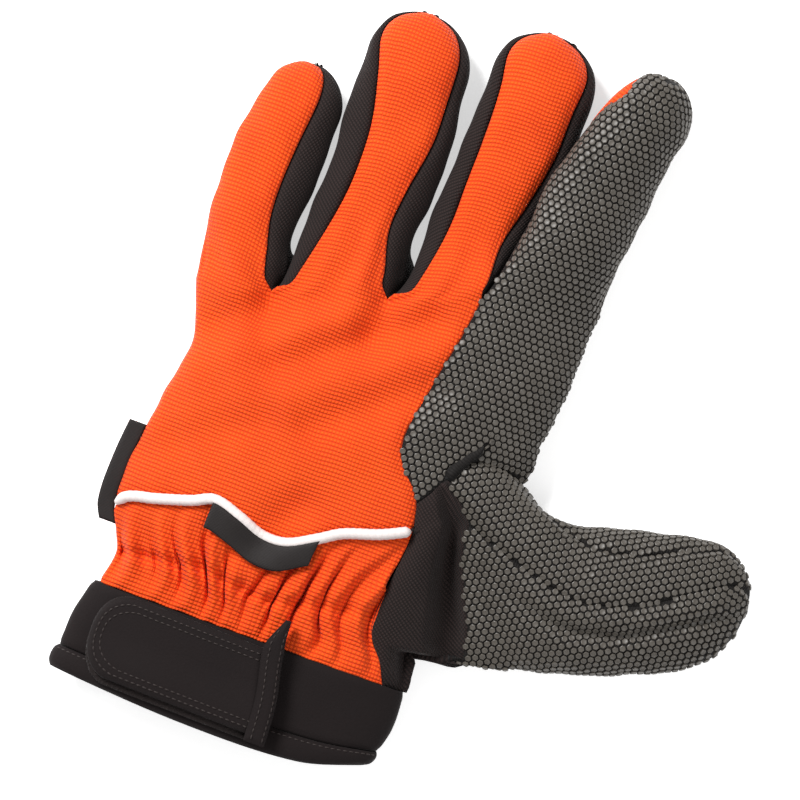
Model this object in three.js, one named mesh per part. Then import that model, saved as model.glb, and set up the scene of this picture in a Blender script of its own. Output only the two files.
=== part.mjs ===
// A left-hand fishing glove lying palm down: a ribbed back with finger stalls, black gussets between the
// fingers, guard-plate fabric round the index finger and thumb, a gathered wrist under a white piping, and
// a neoprene cuff closed by a hook-and-loop tab. Every panel is a thin wall, and the glove is hollow.
// Millimetres. +X runs to the thumb, +Y to the fingertips, +Z up from the surface that it lies on.

import * as THREE from "three";

// Driving dimensions of the hand
const LITTLE_WIDTH = 30;
const RING_WIDTH = 36;
const MIDDLE_WIDTH = 35;
const INDEX_WIDTH = 33;
const INDEX_LAP = 5; // how far the rolled index finger lies over the middle finger
const FINGER_GAP = 0.8;
const PALM_LENGTH = 105; // from the wrist to the knuckles
const LITTLE_LENGTH = 76.4;
const RING_LENGTH = 98;
const MIDDLE_LENGTH = 95;
const INDEX_LENGTH = 87;
const THUMB_LENGTH = 79;
const THUMB_WIDTH = 48.4;

// Heights above the surface
const HAND_HEIGHT = 24;
const SIDE_HEIGHT = 9; // height of the side edge, where the back turns under
const LITTLE_HEIGHT = 16;
const RING_HEIGHT = 18;
const MIDDLE_HEIGHT = 18;
const INDEX_HEIGHT = 27;
const THUMB_HEIGHT = 22;
const CUFF_HEIGHT = 20;

// Walls and seams
const WALL = 1.6;
const NEOPRENE = 2.6;
const SEAM_GAP = 0.75;
const SHARPEST = 0.35; // sine of half the sharpest corner that is drawn in all the way
const CLEARANCE = 0.4; // between a strip and the panel that it lies on

// Cuff, tab and trims
const CUFF_WIDTH = 103;
const CUFF_DEPTH = 33;
const HEM_DEPTH = 9;
const HEM_SWELL = 1; // how far the doubled hem stands proud of the band
const TAB_LENGTH = 53;
const TAB_WIDTH = 27;
const TAB_THICKNESS = 2.4;
const PILE_THICKNESS = 1;
const PILE_MARGIN = 2.2; // how far the loop pile shows below the tab
const BINDING_WIDTH = 6;
const BINDING_THICKNESS = 3;
const PIPING_DIAMETER = 3.2;
const LABEL_THICKNESS = 1;
const WRIST_LABEL_WIDTH = 8.5;
const SIDE_LABEL_LENGTH = 33;
const SIDE_LABEL_WIDTH = 5.5;
const GATHER_COUNT = 11;
const GATHER_DEPTH = 1.8;
const RIDGE_HEIGHT = 3.2; // the fold along the thumb gusset
const RIDGE_DROP = 4.6;

const HAND_WIDTH = LITTLE_WIDTH + RING_WIDTH + MIDDLE_WIDTH + INDEX_WIDTH - INDEX_LAP;
const WRIST_Y = 0; // the gather's lower edge

// Edges of the palm and wrist, seen from above: y in shares of PALM_LENGTH, x in shares of HAND_WIDTH
const LEFT_EDGE = [
  { y: 0, x: 0.062 }, { y: 0.1, x: 0.078 }, { y: 0.16, x: 0.06 },
  { y: 0.23, x: 0.034 }, { y: 0.36, x: 0.031 }, { y: 0.51, x: 0.042 }, { y: 0.67, x: 0.065 },
  { y: 0.77, x: 0.074 }, { y: 0.87, x: 0.06 }, { y: 0.97, x: 0.029 }, { y: 1.08, x: 0.01 },
  { y: 1.3, x: 0 },
];
const RIGHT_EDGE = [
  { y: 0, x: 0.87 }, { y: 0.12, x: 0.862 }, { y: 0.28, x: 0.868 },
  { y: 0.39, x: 0.88 }, { y: 0.5, x: 0.895 }, { y: 0.58, x: 0.92 }, { y: 0.66, x: 0.955 },
  { y: 0.74, x: 0.981 }, { y: 0.82, x: 0.971 }, { y: 0.95, x: 0.984 }, { y: 1.2, x: 0.994 },
];
// Right edge of the ribbed back: beside the wrist gusset, then beside the index finger's fabric
const BACK_EDGE = [
  { y: 0, x: 0.808 }, { y: 0.067, x: 0.78 }, { y: 0.114, x: 0.745 },
  { y: 0.167, x: 0.73 }, { y: 0.271, x: 0.733 }, { y: 0.39, x: 0.744 }, { y: 0.47, x: 0.747 },
  { y: 0.54, x: 0.737 }, { y: 0.592, x: 0.712 }, { y: 0.633, x: 0.678 }, { y: 0.68, x: 0.655 },
  { y: 0.743, x: 0.649 }, { y: 0.819, x: 0.657 }, { y: 0.895, x: 0.67 }, { y: 0.971, x: 0.681 },
  { y: 1.048, x: 0.694 }, { y: 1.187, x: 0.712 },
];
// Right edge of the palm panel, on the underside
const PALM_EDGE = [
  { y: 0, x: 0.82 }, { y: 0.13, x: 0.81 }, { y: 0.22, x: 0.82 }, { y: 0.45, x: 0.84 },
  { y: 0.7, x: 0.85 }, { y: 0.9, x: 0.86 }, { y: 1.187, x: 0.87 },
];
// The piping's line across the wrist: x runs from the left edge of the back (0) to its right edge (1)
const PIPING_LINE = [
  { x: 0, y: 0.235 }, { x: 0.04, y: 0.272 }, { x: 0.14, y: 0.297 }, { x: 0.26, y: 0.33 },
  { x: 0.33, y: 0.356 }, { x: 0.43, y: 0.334 }, { x: 0.53, y: 0.303 }, { x: 0.62, y: 0.307 },
  { x: 0.71, y: 0.351 }, { x: 0.78, y: 0.391 }, { x: 0.9, y: 0.428 }, { x: 1, y: 0.47 },
];
// The line through the finger crotches, on the same scale
const KNUCKLE_LINE = [
  { x: 0, y: 0.965 }, { x: 0.298, y: 0.999 }, { x: 0.702, y: 1.098 }, { x: 1, y: 1.187 },
];
const CROTCH_AT = [0, 0.298, 0.702, 1]; // the crotches, across the back
const PALM_CROTCH_AT = [0, 0.255, 0.6, 0.86, 1]; // and across the palm
const POCKET_AT = 0.07; // how far ahead of the back's crotches the palm's lie, in shares of PALM_LENGTH

// Height of the hand's back, in shares of HAND_HEIGHT, along the hand and across it
const CROWN_ALONG = [
  { y: 0, z: 0.8 }, { y: 0.12, z: 0.8 }, { y: 0.3, z: 0.92 }, { y: 0.6, z: 1 }, { y: 0.85, z: 1 },
  { y: 1.2, z: 0.93 },
];
const CROWN_ACROSS = [
  { x: 0, z: 0.84 }, { x: 0.3, z: 0.96 }, { x: 0.55, z: 1 }, { x: 0.75, z: 1.05 }, { x: 1, z: 0.9 },
];
// Soft folds of the back: a line from (x0, y0) to (x1, y1), its half width and its depth,
// in shares of HAND_WIDTH, PALM_LENGTH, HAND_WIDTH and HAND_HEIGHT
const FOLDS = [
  { x0: 0.36, y0: 1.06, x1: 0.04, y1: 0.8, width: 0.05, depth: 0.09 },
  { x0: 0.62, y0: 1.08, x1: 0.3, y1: 0.8, width: 0.045, depth: 0.06 },
  { x0: 0.68, y0: 0.9, x1: 0.42, y1: 0.66, width: 0.05, depth: 0.04 },
  { x0: 0.3, y0: 0.62, x1: 0.05, y1: 0.42, width: 0.05, depth: 0.04 },
  { x0: 0.47, y0: 0.42, x1: 0.4, y1: 0.28, width: 0.05, depth: 0.07 },
];
const CROTCH_VALLEY = { depth: 0.2, width: 0.045, reach: 0.3 }; // in HAND_HEIGHT, HAND_WIDTH, PALM_LENGTH

// Fingers: t runs from the base row (0) to the tip (1). Centre and half are shares of the finger's width,
// from its slot's left side. back_left and back_right are where the ribbed panel ends, as shares of the
// half width, and base and round are shares of PALM_LENGTH and of the finger's length.
const FINGERS = {
  little: {
    slot: 0, width: LITTLE_WIDTH, length: LITTLE_LENGTH, height: LITTLE_HEIGHT, base: 0.971, round: 0.2,
    rows: [
      { t: 0, centre: 0.49, half: 0.44, back_right: 0.86 },
      { t: 0.21, centre: 0.467, half: 0.46, back_right: 0.52 },
      { t: 0.42, centre: 0.49, half: 0.495, back_right: 0.34 },
      { t: 0.63, centre: 0.513, half: 0.5, back_right: 0.33 },
      { t: 0.84, centre: 0.553, half: 0.455, back_right: 0.4 },
      { t: 1, centre: 0.56, half: 0.42, back_right: 0.5 },
    ],
  },
  ring: {
    slot: LITTLE_WIDTH, width: RING_WIDTH, length: RING_LENGTH, height: RING_HEIGHT, base: 1.025,
    round: 0.17,
    rows: [
      { t: 0, centre: 0.4, half: 0.47, back_left: -0.86, back_right: 0.86 },
      { t: 0.1, centre: 0.413, half: 0.463, back_left: -0.52, back_right: 0.66 },
      { t: 0.26, centre: 0.472, half: 0.472, back_left: -0.49, back_right: 0.55 },
      { t: 0.43, centre: 0.53, half: 0.492, back_left: -0.5, back_right: 0.51 },
      { t: 0.6, centre: 0.517, half: 0.51, back_left: -0.49, back_right: 0.67 },
      { t: 0.76, centre: 0.486, half: 0.486, back_left: -0.66, back_right: 0.76 },
      { t: 0.9, centre: 0.47, half: 0.47, back_left: -0.9, back_right: 0.8 },
      { t: 1, centre: 0.45, half: 0.45, back_left: -0.98, back_right: 0.9 },
    ],
  },
  middle: {
    slot: LITTLE_WIDTH + RING_WIDTH, width: MIDDLE_WIDTH, length: MIDDLE_LENGTH, height: MIDDLE_HEIGHT,
    base: 1.122, round: 0.16,
    rows: [
      { t: 0, centre: 0.3, half: 0.45, back_left: -0.86, back_right: 0.86 },
      { t: 0.09, centre: 0.36, half: 0.445, back_left: -0.5, back_right: 0.73 },
      { t: 0.26, centre: 0.463, half: 0.45, back_left: -0.52, back_right: 0.6 },
      { t: 0.43, centre: 0.525, half: 0.465, back_left: -0.62, back_right: 0.71 },
      { t: 0.6, centre: 0.575, half: 0.49, back_left: -0.68, back_right: 0.75 },
      { t: 0.77, centre: 0.594, half: 0.497, back_left: -0.74, back_right: 0.73 },
      { t: 0.92, centre: 0.588, half: 0.48, back_left: -0.9, back_right: 0.84 },
      { t: 1, centre: 0.57, half: 0.45, back_left: -0.98, back_right: 0.9 },
    ],
  },
};
// The index finger is rolled over on its side: side is its side edge's height as a share of its height,
// tilt lowers the section to the right, and undercut keeps it clear of the middle finger.
const INDEX = {
  slot: LITTLE_WIDTH + RING_WIDTH + MIDDLE_WIDTH - INDEX_LAP, width: INDEX_WIDTH, length: INDEX_LENGTH,
  height: INDEX_HEIGHT, base: 1.187, round: 0.2, side: 0.58, tilt: -0.16, undercut: 1.25,
  rows: [
    { t: 0, centre: 0.43, half: 0.545 }, { t: 0.1, centre: 0.47, half: 0.52 },
    { t: 0.24, centre: 0.505, half: 0.505 }, { t: 0.35, centre: 0.535, half: 0.495 },
    { t: 0.46, centre: 0.555, half: 0.5 }, { t: 0.56, centre: 0.6, half: 0.485 },
    { t: 0.74, centre: 0.7, half: 0.445 }, { t: 0.88, centre: 0.79, half: 0.42 },
    { t: 1, centre: 0.82, half: 0.4 },
  ],
};
// Where the index finger's four strips meet, in degrees round its section from +X
const INDEX_SEAMS = { palm: -60, grip: 174, back: 208, gusset: 232 };
const PALM_SEAM = 0.72; // where the palm panel ends under a finger, as a share of its half width
const SIDE_SHARE = 0.5; // height of a finger's side edge, as a share of the finger's height

// Thumb: t runs outwards from the hand (0) to the tip (1); centre is in shares of PALM_LENGTH, half in half
// THUMB_WIDTH, height in THUMB_HEIGHT, and the seams lie at shares of the half width, from the lower edge.
const THUMB_START = 0.977; // in HAND_WIDTH
const THUMB_ROUND = 0.24;
const THUMB = [
  { t: 0, centre: 0.438, half: 1.3, top_seam: 0.8, centre_seam: 0.07, height: 0.85 },
  { t: 0.125, centre: 0.414, half: 1.095, top_seam: 0.855, centre_seam: 0.115, height: 0.9 },
  { t: 0.237, centre: 0.421, half: 1, top_seam: 0.82, centre_seam: 0.07, height: 0.96 },
  { t: 0.4, centre: 0.454, half: 1, top_seam: 0.7, centre_seam: -0.03, height: 1 },
  { t: 0.56, centre: 0.487, half: 0.98, top_seam: 0.72, centre_seam: -0.01, height: 1 },
  { t: 0.7, centre: 0.52, half: 0.93, top_seam: 0.84, centre_seam: 0.13, height: 0.98 },
  { t: 0.85, centre: 0.55, half: 0.86, top_seam: 0.95, centre_seam: 0.4, height: 0.92 },
  { t: 1, centre: 0.572, half: 0.8, top_seam: 0.97, centre_seam: 0.8, height: 0.85 },
];
// The seam round the thumb's root, from its lower edge (0) to the crotch by the index finger (1)
const THUMB_ROOT = [
  { v: 0, x: 0.975, y: 0.135, z: 0.38 }, { v: 0.1, x: 0.964, y: 0.2, z: 0.48 },
  { v: 0.2, x: 0.945, y: 0.27, z: 0.54 }, { v: 0.3, x: 0.9, y: 0.38, z: 0.62 },
  { v: 0.42, x: 0.872, y: 0.48, z: 0.74 }, { v: 0.5, x: 0.866, y: 0.54, z: 0.84 },
  { v: 0.583, x: 0.835, y: 0.59, z: 0.92 }, { v: 0.667, x: 0.785, y: 0.65, z: 0.98 },
  { v: 0.75, x: 0.82, y: 0.715, z: 0.92 }, { v: 0.84, x: 0.87, y: 0.74, z: 0.82 },
  { v: 0.92, x: 0.925, y: 0.733, z: 0.66 }, { v: 1, x: 0.97, y: 0.714, z: 0.42 },
];
const UNDER_TURN = 0.97; // how far in the left edge's seam lies under the hand, as a share of the half width

// The cuff seen from above: y from its top (0) to the hem (1), x in shares of CUFF_WIDTH
const CUFF = [
  { y: 0, left: 0.062, right: 1.083 }, { y: 0.3, left: 0.039, right: 1.087 },
  { y: 0.7, left: 0.028, right: 1.07 }, { y: 1, left: 0.02, right: 1.045 },
];
// The hem's line: how much of the depth is left across the cuff, from its left side (0) to its right (1)
const HEM_LINE = [
  { x: 0, y: 0.92 }, { x: 0.45, y: 1 }, { x: 0.8, y: 0.97 }, { x: 1, y: 0.8 },
];
const TAB_PLACE = { top: 0.01, slope: 0.02 }; // below the cuff's top in CUFF_DEPTH, and per length
const BINDING_PATH = [
  { x: 0.673, y: 0.29 }, { x: 0.66, y: 0 }, { x: 0.69, y: -0.5 }, { x: 0.7, y: -0.93 },
]; // x in CUFF_WIDTH, y in CUFF_DEPTH

const BODY_SQUARE = { above: 2.6, below: 4 }; // how square the hand's section is
const FINGER_SQUARE = { above: 2.1, below: 3 };
const CUFF_SQUARE = 2.8;
const FLATTENED = 1.04; // how far the rounded underside is pressed flat on the surface

// Grid divisions
const ACROSS_FINGER = 5;
const ALONG_FINGER = 10;
const GATHER_ROWS = 7;
const BODY_ROWS = 9;
const SIDE_STEPS = 3;
const GUSSET_STEPS = 7;
const ROOT_STEPS = 12;
const TURN_STEPS = 2;
const THUMB_ROWS = 10;
const CUFF_SIDES = 32;

const { lerp, clamp, degToRad } = THREE.MathUtils;
const smooth = (s) => s * s * (3 - 2 * s);
const steps = (n) => Array.from({ length: n + 1 }, (_, i) => i / n);

// A column of a table as a smooth function of its key column.
function curve(table, key, column) {
  const slope = (i) => {
    const a = table[Math.max(0, i - 1)];
    const b = table[Math.min(table.length - 1, i + 1)];
    return (b[column] - a[column]) / (b[key] - a[key]);
  };
  return (at) => {
    const s = clamp(at, table[0][key], table.at(-1)[key]);
    const i = clamp(table.findIndex((row) => row[key] >= s) - 1, 0, table.length - 2);
    const [a, b] = [table[i], table[i + 1]];
    const span = b[key] - a[key];
    const u = (s - a[key]) / span;
    const straight = (b[column] - a[column]) / span;
    return lerp(a[column], b[column], u)
      + span * u * (1 - u) * ((slope(i) - straight) * (1 - u) - (slope(i + 1) - straight) * u);
  };
}
const scaled = (table, key, column, keySize, size) => {
  const share = curve(table, key, column);
  return (at) => size * share(at / keySize);
};
const leftEdge = scaled(LEFT_EDGE, "y", "x", PALM_LENGTH, HAND_WIDTH);
const rightEdge = scaled(RIGHT_EDGE, "y", "x", PALM_LENGTH, HAND_WIDTH);
const backEdge = scaled(BACK_EDGE, "y", "x", PALM_LENGTH, HAND_WIDTH);
const palmEdge = scaled(PALM_EDGE, "y", "x", PALM_LENGTH, HAND_WIDTH);
const pipingY = scaled(PIPING_LINE, "x", "y", 1, PALM_LENGTH);
const knuckleY = scaled(KNUCKLE_LINE, "x", "y", 1, PALM_LENGTH);
const crownAlong = scaled(CROWN_ALONG, "y", "z", PALM_LENGTH, 1);
const crownAcross = scaled(CROWN_ACROSS, "x", "z", HAND_WIDTH, 1);

// How round a section still is at share d of its half width.
const roundness = (d, square) => (1 - Math.min(1, Math.abs(d)) ** square) ** (1 / square);
const pressed = (d, square) => Math.min(1, FLATTENED * roundness(d, square));

// A point of a wall: its place on the outer face and on the inner one.
const pair = (place, thickness = WALL) => ({ out: place(0), inn: place(thickness) });
const combine = (a, b, f) => ({ out: f(a.out.clone(), b.out), inn: f(a.inn.clone(), b.inn) });
const mix = (a, b, s) => combine(a, b, (p, q) => p.lerp(q, s));
const lifted = (a, z, y = 0) => combine(a, a, (p) => p.set(p.x, p.y + y, p.z + z));
const stretch = (a, b, n) => steps(n).map((s) => mix(a, b, s));

// How deep the folds of the back are at a point, and how far it sinks between two fingers.
function foldDepth(x, y) {
  let depth = 0;
  for (const fold of FOLDS) {
    const start = new THREE.Vector2(fold.x0 * HAND_WIDTH, fold.y0 * PALM_LENGTH);
    const run = new THREE.Vector2(fold.x1 * HAND_WIDTH, fold.y1 * PALM_LENGTH).sub(start);
    const from = new THREE.Vector2(x, y).sub(start);
    const along = clamp(from.dot(run) / run.lengthSq(), 0, 1);
    const away = from.sub(run.multiplyScalar(along)).length() / (fold.width * HAND_WIDTH);
    depth += fold.depth * HAND_HEIGHT * Math.exp(-away * away);
  }
  return depth;
}
function valleyDepth(x, y) {
  let depth = 0;
  for (const at of CROTCH_AT.slice(1, -1)) {
    const centre = lerp(leftEdge(y), backEdge(y), at);
    const away = (x - centre) / (CROTCH_VALLEY.width * HAND_WIDTH);
    const below = clamp((knuckleY(at) - y) / (CROTCH_VALLEY.reach * PALM_LENGTH), 0, 1);
    depth += CROTCH_VALLEY.depth * HAND_HEIGHT * Math.exp(-away * away) * (1 - smooth(below));
  }
  return depth;
}

// The hand's own surface at share d of its half width, on the back or on the palm side.
function bodyAt(d, y, under = false) {
  const centre = (leftEdge(y) + rightEdge(y)) / 2;
  const half = (rightEdge(y) - leftEdge(y)) / 2;
  const plan = centre + half * d;
  const hollows = foldDepth(plan, y) + valleyDepth(plan, y);
  const crown = HAND_HEIGHT * crownAlong(y) * crownAcross(plan) - hollows;
  return pair((depth) => {
    const rise = under
      ? (depth - SIDE_HEIGHT) * pressed(d, BODY_SQUARE.below)
      : (crown - SIDE_HEIGHT - depth) * roundness(d, BODY_SQUARE.above);
    return new THREE.Vector3(centre + (half - depth) * d, y, SIDE_HEIGHT + rise);
  });
}
function bodyAtX(x, y, under = false) {
  const centre = (leftEdge(y) + rightEdge(y)) / 2;
  return bodyAt(clamp((x - centre) / ((rightEdge(y) - leftEdge(y)) / 2), -1, 1), y, under);
}
const onBack = (share, y) => bodyAtX(lerp(leftEdge(y), backEdge(y), share), y);
const underLeft = (y) => bodyAt(-UNDER_TURN, y, true);

// A finger's sections. The angle runs round the section from +X by +Z.
function fingerShape(finger) {
  const column = (name) => curve(finger.rows, "t", name);
  const [centre, half] = [column("centre"), column("half")];
  const rounding = (t) => (t < 1 - finger.round ? 1 : roundness((t - 1 + finger.round) / finger.round, 2.2));
  const side = (finger.side ?? SIDE_SHARE) * finger.height;
  return {
    at: (angle, t) => pair((depth) => {
      const reach = (finger.width * half(t) - FINGER_GAP / 2 - depth) * rounding(t);
      const flat = Math.cos(angle);
      const square = finger.undercut && flat < 0 ? finger.undercut : FINGER_SQUARE.below;
      const above = (finger.height - side - depth) * roundness(flat, FINGER_SQUARE.above);
      const below = (side - depth) * (finger.undercut ? roundness : pressed)(flat, square);
      const rise = (Math.sin(angle) >= 0 ? above : -below) * rounding(t) ** 0.8;
      return new THREE.Vector3(
        finger.slot + finger.width * centre(t) + reach * flat,
        PALM_LENGTH * finger.base + (finger.length - depth) * t,
        Math.max(depth, side + (finger.tilt ?? 0) * reach * flat + rise),
      );
    }),
    seam: (name) => {
      const share = column(name);
      return (t) => Math.acos(clamp(share(t), -1, 1));
    },
  };
}
const SHAPES = Object.values(FINGERS).map(fingerShape);
const INDEX_SHAPE = fingerShape(INDEX);

// How much of the base row's shift is left at share t of a finger.
const fade = (t) => 1 - smooth(clamp(t / 0.36, 0, 1));
// Rows close up towards the rounded tip.
const fingerRows = steps(ALONG_FINGER).map((s) => Math.sin((s * Math.PI) / 2) ** 1.15);

// A strip of a finger between two angles, which starts from its base row and takes its own shape on the way.
function strip(shape, from, to, baseRow, rows = fingerRows) {
  return rows.map((t) => baseRow.map((base, j) => {
    const angle = (at) => lerp(from(at), to(at), j / (baseRow.length - 1));
    const start = shape.at(angle(0), 0);
    const shift = combine(base, start, (p, q) => p.sub(q));
    return combine(shape.at(angle(t), t), shift, (p, q) => p.addScaledVector(q, fade(t)));
  }));
}

// A closed wall over one or more grids of points that share their meeting vertices. Its free edges are
// drawn in by half the seam gap, so that sewn neighbours don't touch.
function wall(...grids) {
  const ids = new Map();
  const points = [];
  const quads = [];
  const idOf = (p) => {
    const key = p.out.toArray().map((c) => Math.round(c * 1e3)).join();
    if (!ids.has(key)) {
      ids.set(key, points.length);
      points.push({ out: p.out.clone(), inn: p.inn.clone() });
    }
    return ids.get(key);
  };
  for (const grid of grids) {
    const numbered = grid.map((row) => row.map(idOf));
    for (let i = 0; i + 1 < grid.length; i++) {
      for (let j = 0; j + 1 < grid[i].length; j++) {
        const ring = [numbered[i][j], numbered[i][j + 1], numbered[i + 1][j + 1], numbered[i + 1][j]];
        const corners = ring.filter((id, k) => id !== ring[(k + 3) % 4]);
        if (corners.length > 2) quads.push(corners);
      }
    }
  }
  const edges = new Map();
  for (const quad of quads) {
    quad.forEach((a, k) => {
      const b = quad[(k + 1) % quad.length];
      if (!edges.delete(`${b},${a}`)) edges.set(`${a},${b}`, [a, b]);
    });
  }
  const free = [...edges.values()];
  drawIn(points, quads, free);
  return closedSkin(points, quads, free);
}

// Moves the points of the free edges into the panel by half the seam gap, and further at a sharp corner.
function drawIn(points, quads, free) {
  const edgesAt = new Map();
  for (const [a, b] of free) {
    const run = points[b].out.clone().sub(points[a].out).normalize();
    for (const id of [a, b]) edgesAt.set(id, [...(edgesAt.get(id) ?? []), run]);
  }
  const inwards = new Map([...edgesAt.keys()].map((id) => [id, new THREE.Vector3()]));
  for (const quad of quads) {
    const middle = new THREE.Vector3();
    for (const id of quad) middle.addScaledVector(points[id].out, 1 / quad.length);
    for (const id of quad) inwards.get(id)?.add(middle.clone().sub(points[id].out).normalize());
  }
  for (const [id, direction] of inwards) {
    const tangent = edgesAt.get(id).reduce((sum, run) => sum.add(run), new THREE.Vector3()).normalize();
    direction.addScaledVector(tangent, -direction.dot(tangent)).normalize();
    const clear = edgesAt.get(id).map((run) => direction.clone().cross(run).length());
    direction.multiplyScalar(SEAM_GAP / 2 / Math.max(SHARPEST, Math.min(...clear)));
    points[id].out.add(direction);
    points[id].inn.add(direction);
  }
}

// The two faces of a wall and the strip round its free edges, as one closed geometry.
function closedSkin(points, quads, free) {
  const n = points.length;
  const triangles = [];
  for (const quad of quads) {
    for (let k = 1; k + 1 < quad.length; k++) {
      triangles.push(quad[0], quad[k], quad[k + 1]);
      triangles.push(quad[0] + n, quad[k + 1] + n, quad[k] + n);
    }
  }
  for (const [a, b] of free) triangles.push(b, a, a + n, b, a + n, b + n);
  const places = [...points.map((p) => p.out), ...points.map((p) => p.inn)];
  let volume = 0;
  for (let i = 0; i < triangles.length; i += 3) {
    const [a, b, c] = triangles.slice(i, i + 3).map((id) => places[id]);
    volume += a.dot(b.clone().cross(c));
  }
  if (volume < 0) triangles.reverse();
  const geometry = new THREE.BufferGeometry().setFromPoints(places).setIndex(triangles);
  geometry.computeVertexNormals();
  return geometry;
}

// Shares across a row, with the same number of steps between each two crotches.
const between = (places) => places.flatMap((at, k) =>
  (k ? steps(ACROSS_FINGER).slice(1).map((s) => lerp(places[k - 1], at, s)) : [at]));
const backShares = between(CROTCH_AT);
const palmShares = between(PALM_CROTCH_AT);
const columnsOf = (row, k) => row.slice(k * ACROSS_FINGER, (k + 1) * ACROSS_FINGER + 1);

// The ribbed back below the knuckles, from the piping up
const pipingHalf = PIPING_DIAMETER / 2 + CLEARANCE;
const bodyRows = steps(BODY_ROWS).map((s) => {
  const y = (share) => lerp(pipingY(share) + pipingHalf, knuckleY(share), s);
  return [underLeft(y(0)), ...backShares.map((share) => onBack(share, y(share)))];
});
const knuckleRow = bodyRows.at(-1).slice(1);

// The gathers: ridges that run along the hand and are highest midway
function gatherLift(share, s) {
  const wave = Math.cos(2 * Math.PI * GATHER_COUNT * share + 1.5 * Math.sin(2 * Math.PI * share));
  return GATHER_DEPTH * wave * Math.sin(Math.PI * s) ** 0.7 * Math.sin(Math.PI * share) ** 0.3;
}
const gatherY = (share, s) => lerp(WRIST_Y, pipingY(share) - pipingHalf, s);
const gatherRows = steps(GATHER_ROWS).map((s) => [
  underLeft(gatherY(0, s)),
  ...steps(GATHER_COUNT * 4).map((share) =>
    lifted(onBack(share, gatherY(share, s)), gatherLift(share, s))),
]);

// The seam round the thumb's root
const [rootX, rootY, rootZ] = ["x", "y", "z"].map((column) => curve(THUMB_ROOT, "v", column));
const rootRow = steps(ROOT_STEPS).map((v) => pair((depth) => {
  const upright = clamp(2 * (0.95 - rootZ(v)), 0, 1); // low on the side, the wall's inner face lies to the left
  return new THREE.Vector3(
    HAND_WIDTH * rootX(v) - depth * upright,
    PALM_LENGTH * rootY(v),
    HAND_HEIGHT * rootZ(v) - depth * Math.sqrt(1 - upright ** 2),
  );
}));
const LOBE_CORNER = 8; // the root's corner where the index fabric's lower edge leaves it

// The palm panel's right edge: beside the gusset, along the thumb's root, then beside the index's fabric
const palmRightAt = (y) => bodyAtX(palmEdge(y), y, true);
const rightRows = bodyRows.slice(1).map((row) => row.at(-1));
const crotchY = rootRow.at(-1).out.y;
const palmTopY = rightRows.at(-1).out.y + POCKET_AT * PALM_LENGTH;
const palmRight = [
  palmRightAt(WRIST_Y),
  ...steps(BODY_ROWS - 1).map((s) => palmRightAt(lerp(rootRow[0].out.y, crotchY, s))),
  ...steps(BODY_ROWS - 1).slice(1).map((s) => palmRightAt(lerp(crotchY, palmTopY, s))),
];
const palmLeft = [...gatherRows, ...bodyRows].map((row) => row[0]);

function palmRows() {
  const top = (share) => {
    const pocket = Math.min(1, share / PALM_CROTCH_AT[1]);
    return knuckleY(Math.min(1, share / PALM_CROTCH_AT.at(-2))) + POCKET_AT * PALM_LENGTH * pocket;
  };
  return palmLeft.map((left, i) => {
    const right = palmRight[i];
    const rise = smooth(i / (palmLeft.length - 1));
    const row = palmShares.map((share) => {
      const straight = mix(left, right, share).out;
      const lead = (top(share) - lerp(palmLeft.at(-1).out.y, palmRight.at(-1).out.y, share)) * rise;
      return bodyAtX(straight.x, straight.y + lead, true);
    });
    return [left, ...row.slice(1, -1), right];
  });
}
const palmBody = palmRows();
const palmKnuckleRow = palmBody.at(-1);

const PALM_ANGLE = Math.acos(PALM_SEAM);
const angle = (value) => () => value;
const indexSeam = (name) => angle(degToRad(INDEX_SEAMS[name]));
const backLeft = (k) => (k ? SHAPES[k].seam("back_left") : angle(Math.PI + PALM_ANGLE));

function backPanel() {
  // The little finger's stall starts from the turned edge as well
  const bases = SHAPES.map((_, k) => columnsOf(knuckleRow, k));
  bases[0] = bodyRows.at(-1).slice(0, ACROSS_FINGER + 2);
  return wall(bodyRows, ...SHAPES.map((shape, k) => strip(shape, backLeft(k), shape.seam("back_right"), bases[k])));
}
function palmPanel() {
  const stalls = SHAPES.map((shape, k) =>
    strip(shape, angle(PALM_ANGLE - Math.PI), angle(-PALM_ANGLE), columnsOf(palmKnuckleRow, k)));
  const underIndex = strip(INDEX_SHAPE, angle(degToRad(INDEX_SEAMS.gusset - 360)), indexSeam("palm"),
    columnsOf(palmKnuckleRow, SHAPES.length));
  return wall(palmBody, ...stalls, underIndex);
}

// The black strips on both sides of a crotch, which meet in its bottom
function fourchette(k) {
  const base = stretch(knuckleRow[k * ACROSS_FINGER], palmKnuckleRow[k * ACROSS_FINGER], SIDE_STEPS);
  base.slice(1, -1).forEach((p) => p.inn.setY(p.inn.y - WALL));
  const left = strip(SHAPES[k - 1], SHAPES[k - 1].seam("back_right"), angle(-PALM_ANGLE), base);
  const right = k < SHAPES.length
    ? strip(SHAPES[k], SHAPES[k].seam("back_left"), angle(Math.PI + PALM_ANGLE), base)
    : strip(INDEX_SHAPE, indexSeam("back"), indexSeam("gusset"), base);
  return wall(left.map((row) => row.toReversed()), right);
}
function indexBack() {
  const base = Array(SIDE_STEPS + 1).fill(knuckleRow.at(-1));
  return wall(strip(INDEX_SHAPE, indexSeam("grip"), indexSeam("back"), base).slice(2));
}

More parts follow.
